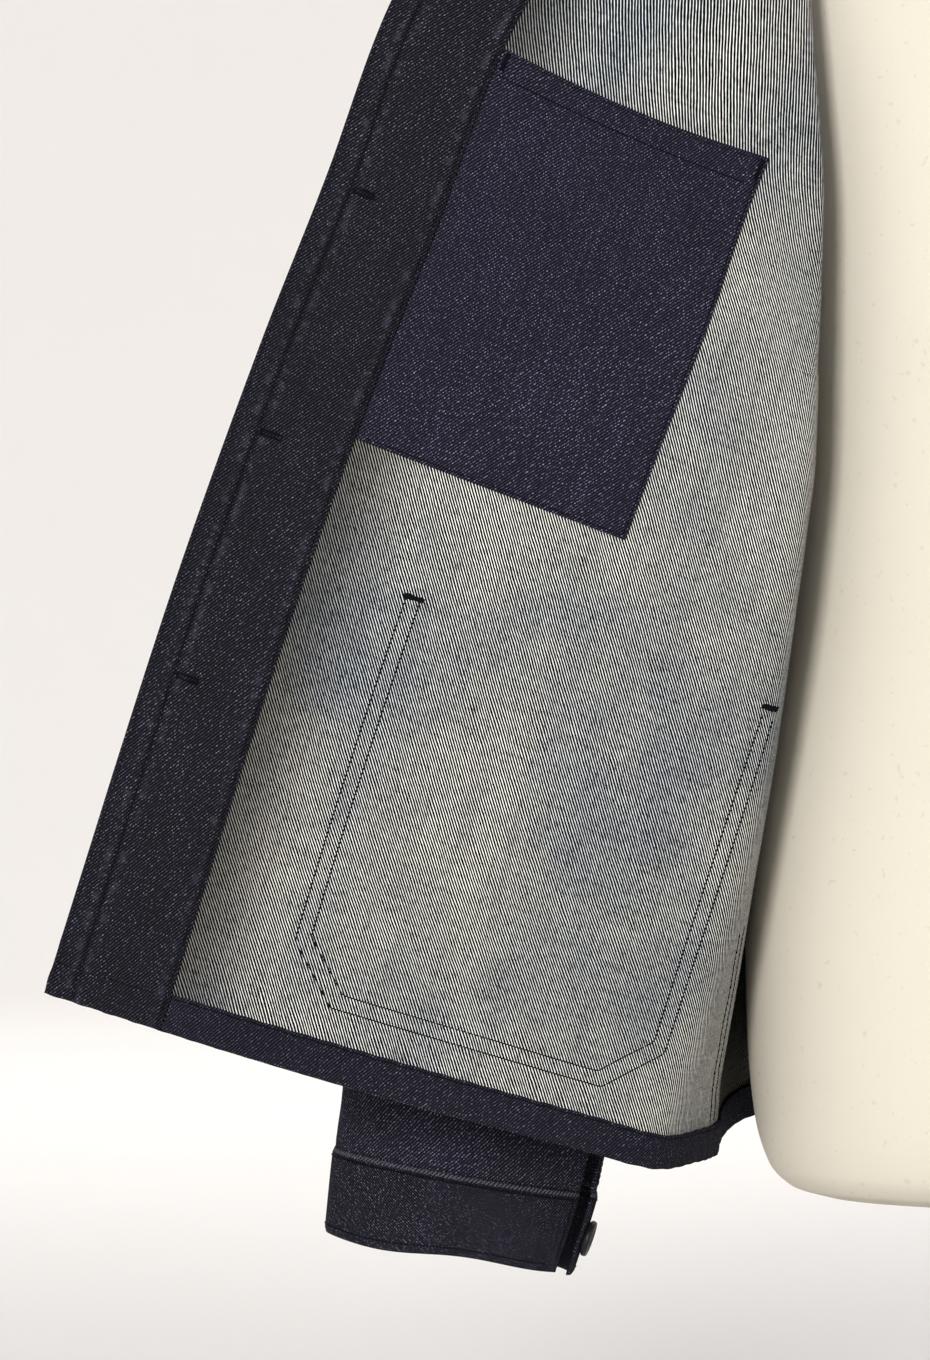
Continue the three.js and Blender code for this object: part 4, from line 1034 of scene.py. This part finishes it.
def on_left(path, **options):
    stitched_path("stitches_left_front", left_front, across_left, path, 0.05, False, **options)


on_left([(2.2, 2), (2.2, 536)])
on_left([(12, 14), (12, 536)], radius=0.22)
on_left([(51.2, 2), (51.2, 534)], radius=0.22)
on_left([(2, 14.4), (left_width - 2, 14.4)])
for inset in (3.2, 9.6):
    on_left([(float(np.interp(edge_share(h), left_front.shares, left_front.u[:, -1])) - inset, h) for h in seam_heights])


def on_back(path, **options):
    stitched_path("stitches_back", back, across_back, path, 0.05, False, **options)


on_back([(2, 14.4), (back_width - 2, 14.4)])
for inset in (3.2, 9.6):
    on_back([(inset, h) for h in seam_heights])
    on_back([(float(np.interp(edge_share(h), back.shares, back.u[:, -1])) - inset, h) for h in seam_heights])
arm_heights = edge_height(ARM_MIDDLE + ARM_HALF * np.cos(np.pi * (1 - np.linspace(0.02, 0.98, 70))))
for inset in (3.0, 8.0):
    for panel, s_of, group in ((left_front, across_left, on_left), (back, across_back, on_back)):
        group([(float(np.interp(edge_share(h), panel.shares, panel.u[:, -1])) - inset, float(h)) for h in arm_heights])
    on_back([(inset, float(h)) for h in arm_heights])
    outside_open([(float(np.interp(edge_share(h), SHARES, open_lengths)) - inset, float(h)) for h in arm_heights])

# Rows on the sleeves, cuffs and collar
for right in (True, False):
    side = "right" if right else "left"
    panel, cuff = sleeves[right], cuffs[right]
    for row in (-2, -5):
        pass
    count = panel.points.shape[1]
    for column in (1, 3):
        points = panel.points[6:, column] + panel.normals[6:, column] * 0.05
        row_of_stitches(f"stitches_{side}_sleeve", points, panel.normals[6:, column])
    for k in (0.09, 0.9):
        spread = np.linspace(0.012, 0.988, 240)
        points, normals = cuff.at(spread, mix(CUFF_T[0], CUFF_T[-1], k))
        row_of_stitches(f"stitches_{side}_cuff", points + normals * (CUFF_STEP + 0.05), normals)
    for end in (0.014, 0.986):
        points, normals = cuff.at(end, np.linspace(CUFF_T[1], CUFF_T[-2], 40))
        row_of_stitches(f"stitches_{side}_cuff", points + normals * (CUFF_STEP + 0.05), normals)
edge_rows = [collar.at(np.linspace(0.01, 0.99, 500), 0.972)]
edge_rows += [collar.at(end, np.linspace(0.05, 0.97, 90)) for end in (0.008, 0.992)]
for points, normals in edge_rows:
    row_of_stitches("stitches_collar", points + normals * 0.05, normals, radius=0.26)
    row_of_stitches("stitches_collar", points - normals * (COLLAR_CLOTH + 0.05), -normals, radius=0.26)

for k in range(4):
    share = float(edge_share(LOWEST_BUTTON + k * BUTTON_SPACING))
    point, normal = left_front.at(0.07, share)
    name = f"front_button_{k + 1}"
    pieces[name], threads = button(f"visual_{name}", point, normal, 0.8)
    for a, b, n in threads:
        add_stitches("stitches_buttons", a, b, n, 0.3)
for right in (True, False):
    side = "right" if right else "left"
    cuff = cuffs[right]
    point, normal = cuff.at(0.03, 1.043)
    pieces[f"{side}_cuff_button"], threads = button(f"visual_{side}_cuff_button", point, normal, CUFF_STEP + 0.2)
    for a, b, n in threads:
        add_stitches("stitches_buttons", a, b, n, 0.3)


def stitch_mesh(name, sets):
    """Each stitch is a short five-sided strand that sinks into the cloth at its ends."""
    stations = ((0.0, 0.0, -0.1), (0.05, 0.85, 0.02), (0.5, 1.0, 0.1), (0.95, 0.85, 0.02), (1.0, 0.0, -0.1))
    all_points, all_faces, base = [], [], 0
    angles = 2 * math.pi * np.arange(5) / 5
    for starts, ends, normals, radius in sets:
        along = unit(ends - starts)
        sideways = unit(np.cross(along, normals))
        up = unit(np.cross(sideways, along))
        up = np.where((up * normals).sum(-1, keepdims=True) < 0, -up, up)
        count = len(starts)
        rings = []
        for k, share, lift in stations:
            centre = starts + (ends - starts) * k + up * lift
            if share == 0:
                rings.append(centre[:, None, :])
                continue
            ring = centre[:, None, :] + radius * share * (
                sideways[:, None, :] * np.cos(angles)[None, :, None] * 1.15
                + up[:, None, :] * np.sin(angles)[None, :, None] * 0.9
            )
            rings.append(ring)
        points = np.concatenate(rings, axis=1)
        one = []
        for i in range(5):
            n = (i + 1) % 5
            one.append((0, 1 + i, 1 + n, -1))
            one.append((1 + i, 6 + i, 6 + n, 1 + n))
            one.append((6 + i, 11 + i, 11 + n, 6 + n))
            one.append((16, 11 + n, 11 + i, -1))
        for s in range(count):
            offset = base + s * 17
            all_faces.extend(tuple(offset + p for p in face if p >= 0) for face in one)
        all_points.append(points.reshape(-1, 3))
        base += count * 17
    return make_object(name, np.vstack(all_points), all_faces)


threads = {name: stitch_mesh(name, sets) for name, sets in stitch_sets.items()}


# Materials

class Shader:
    """A node material, with short ways to add the nodes it is made of."""

    def __init__(self, name):
        self.material = bpy.data.materials.new(name)
        self.material.use_nodes = True
        self.tree = self.material.node_tree
        self.tree.nodes.clear()
        self.output = self.tree.nodes.new("ShaderNodeOutputMaterial")
        self.surface = self.tree.nodes.new("ShaderNodeBsdfPrincipled")
        self.link(self.surface.outputs[0], self.output.inputs["Surface"])

    def link(self, source, socket):
        self.tree.links.new(source, socket)

    def give(self, socket, value):
        if hasattr(value, "is_output"):
            self.link(value, socket)
        else:
            socket.default_value = value

    def math(self, operation, *values, clamp=False):
        node = self.tree.nodes.new("ShaderNodeMath")
        node.operation = operation
        node.use_clamp = clamp
        for socket, value in zip(node.inputs, values):
            self.give(socket, value)
        return node.outputs[0]

    def add(self, a, b):
        return self.math("ADD", a, b)

    def times(self, a, b):
        return self.math("MULTIPLY", a, b)

    def ramp(self, value, low, high):
        node = self.tree.nodes.new("ShaderNodeMapRange")
        node.interpolation_type = "SMOOTHSTEP"
        for name, given in (("Value", value), ("From Min", low), ("From Max", high)):
            self.give(node.inputs[name], given)
        return node.outputs[0]

    def blend(self, factor, a, b):
        node = self.tree.nodes.new("ShaderNodeMix")
        node.data_type = "RGBA"
        self.give(node.inputs["Factor"], factor)
        colours = [socket for socket in node.inputs if socket.type == "RGBA"]
        self.give(colours[0], a)
        self.give(colours[1], b)
        return [socket for socket in node.outputs if socket.type == "RGBA"][0]

    def vector(self, x, y, z=0.0):
        node = self.tree.nodes.new("ShaderNodeCombineXYZ")
        for socket, value in zip(node.inputs, (x, y, z)):
            self.give(socket, value)
        return node.outputs[0]

    def noise(self, vector, scale, detail=2.0, roughness=0.5):
        node = self.tree.nodes.new("ShaderNodeTexNoise")
        self.give(node.inputs["Vector"], vector)
        node.inputs["Scale"].default_value = scale
        node.inputs["Detail"].default_value = detail
        node.inputs["Roughness"].default_value = roughness
        return node.outputs[0]

    def pattern(self):
        """Distances across and up the pattern, in millimetres."""
        node = self.tree.nodes.new("ShaderNodeUVMap")
        node.uv_map = "pattern"
        split = self.tree.nodes.new("ShaderNodeSeparateXYZ")
        self.link(node.outputs[0], split.inputs[0])
        return split.outputs[0], split.outputs[1]

    def place(self):
        return self.tree.nodes.new("ShaderNodeTexCoord").outputs["Object"]

    def finish(self, colour, roughness, height=None, depth=0.0002, strength=1.0, sheen=0.0, specular=0.3):
        self.give(self.surface.inputs["Base Color"], colour)
        self.give(self.surface.inputs["Roughness"], roughness)
        self.surface.inputs["Sheen Weight"].default_value = sheen
        self.surface.inputs["Sheen Roughness"].default_value = 0.6
        self.surface.inputs["Specular IOR Level"].default_value = specular
        if height is not None:
            bump = self.tree.nodes.new("ShaderNodeBump")
            bump.inputs["Distance"].default_value = depth
            bump.inputs["Strength"].default_value = strength
            self.link(height, bump.inputs["Height"])
            self.link(bump.outputs[0], self.surface.inputs["Normal"])
        return self.material


def colour(red, green, blue):
    """A colour given as it is seen, from 0 to 255, as the shader takes it."""
    def linear(c):
        c = c / 255
        return c / 12.92 if c <= 0.04045 else ((c + 0.055) / 1.055) ** 2.4
    return (linear(red), linear(green), linear(blue), 1.0)


TWILL_PERIOD = 1.17


def twill(shader, angle, wobble=0.35):
    """The twill's phase and its along and across places. The angle is from the warp, in degrees."""
    u, v = shader.pattern()
    c, s = math.cos(math.radians(angle)), math.sin(math.radians(angle))
    across = shader.add(shader.times(u, c), shader.times(v, s))
    along = shader.add(shader.times(u, -s), shader.times(v, c))
    drift = shader.noise(shader.vector(shader.times(across, 0.12), shader.times(along, 0.05)), 1.0, 3.0)
    bent = shader.add(across, shader.times(shader.math("SUBTRACT", drift, 0.5), 2 * wobble / TWILL_PERIOD * 2))
    wave = shader.math("SINE", shader.times(bent, 2 * math.pi / TWILL_PERIOD))
    return u, v, across, along, shader.add(shader.times(wave, 0.5), 0.5)


def denim_reverse():
    """The wrong side: white weft with the indigo warp showing as fine dark slanting lines."""
    shader = Shader("denim_wrong_side")
    u, v, across, along, wave = twill(shader, 34.7)
    grain = shader.noise(shader.vector(shader.times(across, 1.0), shader.times(along, 0.3)), 1.0, 2.0, 0.6)
    slub = shader.noise(shader.vector(shader.times(u, 0.04), shader.times(v, 0.9), 3.0), 1.0, 2.0)
    value = shader.add(wave, shader.times(shader.math("SUBTRACT", grain, 0.5), 0.55))
    value = shader.add(value, shader.times(shader.math("SUBTRACT", slub, 0.5), 0.25))
    patch = shader.noise(shader.vector(shader.times(u, 0.011), shader.times(v, 0.008), 8.0), 1.0, 3.0, 0.55)
    value = shader.add(value, shader.times(shader.math("SUBTRACT", patch, 0.5), -0.3))
    lines = shader.ramp(value, 0.68, 0.94)
    stain = shader.ramp(patch, 0.4, 0.72)
    light = shader.blend(shader.times(stain, 0.65), colour(252, 251, 245), colour(198, 214, 228))
    streak = shader.noise(shader.vector(shader.times(u, 0.25), shader.times(v, 0.012), 5.0), 1.0, 2.0)
    light = shader.blend(shader.times(shader.ramp(streak, 0.45, 0.8), 0.45), light, colour(186, 191, 192))
    # painted shade: the wrong side is darker and browner in a band beside the facing, fading out 40 mm from it
    facing_side_shade = shader.math("SUBTRACT", 1.0, shader.ramp(u, FACING_WIDTH, FACING_WIDTH + 40))
    light = shader.blend(shader.times(facing_side_shade, 0.85), light, colour(112, 109, 98))
    dark = shader.blend(shader.times(stain, 0.6), colour(12, 14, 16), colour(20, 28, 42))
    return shader.finish(
        shader.blend(lines, dark, light), 0.95, lines, 0.0002, 0.4, sheen=0.0, specular=0.04
    )


def denim_face(name, angle, base, fleck, share=0.56, rows=(), seams=()):
    """The right side: dark indigo warp with small flecks of the white weft along its lines.
    The higher share is, the fewer the flecks. Rows sewn up the cloth, given by their place
    across it, are rubbed and dented, with painted shade in each dent, and so are seams across it, given by their
    height."""
    shader = Shader(name)
    u, v, across, along, wave = twill(shader, angle, 0.25)
    fine = shader.noise(shader.vector(shader.times(across, 0.85), shader.times(along, 1.4), 1.0), 1.0, 2.0, 0.6)
    wide = shader.noise(shader.vector(shader.times(u, 0.05), shader.times(v, 0.02), 9.0), 1.0, 3.0)
    slub = shader.noise(shader.vector(shader.times(u, 0.8), shader.times(v, 0.03), 6.0), 1.0, 2.0)
    least = shader.add(share, shader.times(shader.math("SUBTRACT", 0.5, wide), 0.06))
    least = shader.add(least, shader.times(shader.math("SUBTRACT", 0.5, slub), 0.08))
    line = shader.ramp(wave, 0.4, 0.85)
    bright = shader.add(0.05, shader.times(shader.ramp(fine, least, shader.add(least, 0.14)), 0.8))
    flecks = shader.times(line, bright)
    body = shader.blend(
        shader.ramp(slub, 0.3, 0.7),
        colour(*[c * 0.88 for c in base]), colour(base[0] * 1.12, base[1] * 1.12, base[2] * 1.16),
    )
    body = shader.blend(
        shader.times(shader.ramp(wide, 0.42, 0.7), 0.4), body, colour(base[0] * 1.05, base[1] * 1.05, base[2] * 1.35)
    )
    body = shader.blend(shader.times(shader.math("SUBTRACT", 1.0, wave), 0.6), body, colour(*[c * 0.4 for c in base]))
    mixed = shader.blend(flecks, body, colour(*fleck))
    for row in rows:
        bump = shader.noise(shader.vector(shader.times(u, 0.12), shader.times(v, 0.22), row), 1.0, 2.0)
        away = shader.math("ABSOLUTE", shader.math("SUBTRACT", u, row))
        # painted shade: a narrow darker line in the dent along each row
        painted_dent_shade = shader.math("SUBTRACT", 1.0, shader.ramp(away, 0.3, 1.9))
        rub = shader.times(
            shader.times(shader.ramp(away, 1.2, 2.6), shader.math("SUBTRACT", 1.0, shader.ramp(away, 3.0, 6.0))),
            shader.ramp(bump, 0.45, 0.65),
        )
        mixed = shader.blend(shader.times(rub, 0.18), mixed, colour(90, 90, 106))
        mixed = shader.blend(shader.times(painted_dent_shade, 0.4), mixed, colour(*[c * 0.4 for c in base]))
    for seam in seams:
        away = shader.math("ABSOLUTE", shader.math("SUBTRACT", v, seam))
        ticks = shader.math("SINE", shader.times(shader.add(u, v), 2 * math.pi / 1.9))
        rub = shader.times(shader.math("SUBTRACT", 1.0, shader.ramp(away, 0.5, 1.5)), shader.ramp(ticks, -0.4, 0.9))
        mixed = shader.blend(shader.times(rub, 0.5), mixed, colour(128, 129, 142))
        # painted shade: a darker line in the dent beside each seam
        painted_dent_shade = shader.math("SUBTRACT", 1.0, shader.ramp(shader.math("ABSOLUTE", shader.math("SUBTRACT", v, seam + 2.6)), 0.4, 1.6))
        mixed = shader.blend(shader.times(painted_dent_shade, 0.5), mixed, colour(*[c * 0.4 for c in base]))
    return shader.finish(
        mixed, 0.9, shader.add(shader.times(wave, 0.6), flecks), 0.0002, 0.5, sheen=0.0, specular=0.05
    )


def dark_thread():
    shader = Shader("dark_thread")
    speck = shader.noise(shader.place(), 900.0, 2.0)
    tint = shader.blend(speck, colour(6, 6, 11), colour(17, 17, 25))
    return shader.finish(tint, 0.75, specular=0.06)


def form_cover():
    """Smooth cream with tiny specks."""
    shader = Shader("form_cover")
    place = shader.place()
    specks = shader.ramp(shader.noise(place, 260.0, 1.0), 0.69, 0.75)
    soft = shader.noise(place, 5.0, 3.0)
    base = shader.blend(shader.ramp(soft, 0.3, 0.75), colour(224, 218, 203), colour(221, 214, 199))
    tint = shader.blend(shader.times(specks, 0.3), base, colour(196, 184, 158))
    height = shader.noise(place, 900.0, 2.0)
    return shader.finish(tint, 0.8, height, 0.0002, 0.25, specular=0.06)


def plain(name, tint, roughness, specular, metallic=0.0):
    shader = Shader(name)
    soft = shader.noise(shader.place(), 60.0, 2.0)
    shader.surface.inputs["Metallic"].default_value = metallic
    lower = colour(*[c * 0.93 for c in tint])
    return shader.finish(shader.blend(shader.times(soft, 0.5), colour(*tint), lower), roughness, specular=specular)


wrong_side = denim_reverse()
facing_denim = denim_face("denim_facing", -35.0, (19, 18, 25), (152, 152, 166), 0.565, (11.8, 51.2))
pocket_denim = denim_face("denim_pocket", -35.0, (23, 21, 34), (160, 160, 182), 0.55)
panel_denim = denim_face("denim_panel", 45.0, (26, 25, 36), (162, 162, 182), 0.535)
hem_denim = denim_face("denim_hem", -35.0, (24, 23, 33), (146, 146, 164), 0.56)
cuff_denim = denim_face("denim_cuff", -40.0, (23, 22, 30), (154, 154, 172), 0.55, (), (581.4,))
thread = dark_thread()
cover = form_cover()
horn = plain("button_dark", (24, 23, 27), 0.45, 0.3)
steel = plain("stand_paint", (222, 219, 212), 0.42, 0.5)


def outside_too(obj, outer):
    """The front's outer layer and rim get the right side's look. Its first half of points is outer."""
    obj.data.materials.append(outer)
    half = len(obj.data.vertices) // 2
    count = len(obj.data.polygons)
    corners = np.empty(count, dtype=np.int32)
    index = np.empty(len(obj.data.loops), dtype=np.int32)
    obj.data.loops.foreach_get("vertex_index", index)
    obj.data.polygons.foreach_get("loop_start", corners)
    low = np.minimum.reduceat(index, corners)
    obj.data.polygons.foreach_set("material_index", (low < half).astype(np.int32))


def bound_vent(obj, columns):
    """The inside of a sleeve beside its vent is bound with the dark side."""
    vertices = np.empty(len(obj.data.vertices) * 3, dtype=np.float32)
    obj.data.vertices.foreach_get("co", vertices)
    half = len(obj.data.vertices) // 2
    rows = half // columns
    material = np.empty(len(obj.data.polygons), dtype=np.int32)
    obj.data.polygons.foreach_get("material_index", material)
    for i, polygon in enumerate(obj.data.polygons):
        first = min(polygon.vertices) - half
        if first < 0:
            continue
        row, column = divmod(first, columns)
        if row > rows * 0.8 and (column < 14 or column > columns - 16):
            material[i] = 1
    obj.data.polygons.foreach_set("material_index", material)


looks = {
    "right_front": wrong_side, "left_front": wrong_side, "back": wrong_side,
    "right_facing": facing_denim, "right_front_hem": hem_denim, "left_front_hem": hem_denim,
    "back_hem": hem_denim, "inner_pocket": pocket_denim, "right_hip_pocket": panel_denim,
    "left_hip_pocket": panel_denim, "right_sleeve": wrong_side, "left_sleeve": wrong_side,
    "right_cuff": cuff_denim, "left_cuff": cuff_denim, "collar": panel_denim,
    "form_torso": cover, "form_neck_cap": cover, "stand_pole": steel, "stand_base": steel,
}
for name, obj in pieces.items():
    obj.data.materials.append(looks.get(name, horn))
    if name in ("right_front", "left_front", "back", "right_sleeve", "left_sleeve"):
        outside_too(obj, panel_denim)
for side in ("right", "left"):
    bound_vent(pieces[f"{side}_sleeve"], 92)
for obj in threads.values():
    obj.data.materials.append(thread)

# How the pieces stand in the frame

for name, obj in pieces.items():
    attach(obj, "root")
    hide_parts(name)
for obj in threads.values():
    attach(obj, "root")

# Backdrop: a pale floor that curves up all round

sweep = [(0.0, 0.0), (2.0, 0.0)]
for turn in np.linspace(0, math.pi / 2, 20):
    sweep.append((4.2 + 1.8 * math.sin(turn), 1.8 - 1.8 * math.cos(turn)))
sweep.append((6.0, 4.5))
around = 2 * math.pi * np.arange(96) / 96
points = [(r * math.cos(a), r * math.sin(a), z) for r, z in sweep for a in around]
faces = []
for j in range(len(sweep) - 1):
    for i in range(96):
        n = (i + 1) % 96
        faces.append((j * 96 + i, (j + 1) * 96 + i, (j + 1) * 96 + n, j * 96 + n))
mesh = bpy.data.meshes.new("backdrop")
mesh.from_pydata(points, [], faces)
mesh.polygons.foreach_set("use_smooth", [True] * len(mesh.polygons))
backdrop = bpy.data.objects.new("backdrop", mesh)
bpy.context.scene.collection.objects.link(backdrop)
paper = Shader("backdrop_paper")
mottle = paper.noise(paper.place(), 3.0, 2.0)
mesh.materials.append(paper.finish(
    paper.blend(mottle, colour(247, 244, 242), colour(245, 242, 239)), 0.95, specular=0.1
))
# Seen from outside, the backdrop lets the eye through
nodes, links = mesh.materials[0].node_tree.nodes, mesh.materials[0].node_tree.links
output = next(node for node in nodes if node.type == "OUTPUT_MATERIAL")
surface = output.inputs["Surface"].links[0].from_socket
mix = nodes.new("ShaderNodeMixShader")
links.new(nodes.new("ShaderNodeNewGeometry").outputs["Backfacing"], mix.inputs[0])
links.new(surface, mix.inputs[1])
links.new(nodes.new("ShaderNodeBsdfTransparent").outputs[0], mix.inputs[2])
links.new(mix.outputs[0], output.inputs["Surface"])


# Light and camera

def area_light(name, place, target, size, power, tint):
    light = bpy.data.lights.new(name, "AREA")
    light.shape = "RECTANGLE"
    light.size, light.size_y = size
    light.energy = power
    light.color = tint
    obj = bpy.data.objects.new(name, light)
    obj.location = place
    obj.rotation_euler = (Vector(target) - Vector(place)).to_track_quat("-Z", "Y").to_euler()
    obj.visible_camera = False
    bpy.context.scene.collection.objects.link(obj)


area_light("key", (-1.1, -3.5, 1.1), (-0.15, 0, 0.42), (0.6, 0.6), 92, (1.0, 0.995, 0.985))
area_light("fill", (1.6, -3.0, 1.0), (-0.1, 0, 0.4), (2.2, 2.2), 17, (1.0, 0.995, 0.98))
area_light("wall", (0.0, 2.2, 3.4), (0.0, 5.6, 0.6), (5.0, 1.2), 51, (1.0, 0.995, 0.99))
area_light("floor", (0.0, 2.2, 2.6), (0.0, 2.2, 0.0), (4.0, 2.4), 48, (1.0, 0.995, 0.99))
world = bpy.data.worlds.new("room")
world.use_nodes = True
world.node_tree.nodes["Background"].inputs[0].default_value = (0.99, 0.99, 1.0, 1.0)
world.node_tree.nodes["Background"].inputs[1].default_value = 0.29
bpy.context.scene.world = world

camera = bpy.data.cameras.new("camera")
camera.sensor_width = 36
camera.sensor_fit = "AUTO"
camera.lens = 138.2
camera_object = bpy.data.objects.new("camera", camera)
camera_object.location = (-0.302, -2.4, 0.396)
camera_object.rotation_euler = (math.radians(90), 0, 0)
bpy.context.scene.collection.objects.link(camera_object)
bpy.context.scene.camera = camera_object
bpy.context.scene.view_settings.view_transform = "Standard"
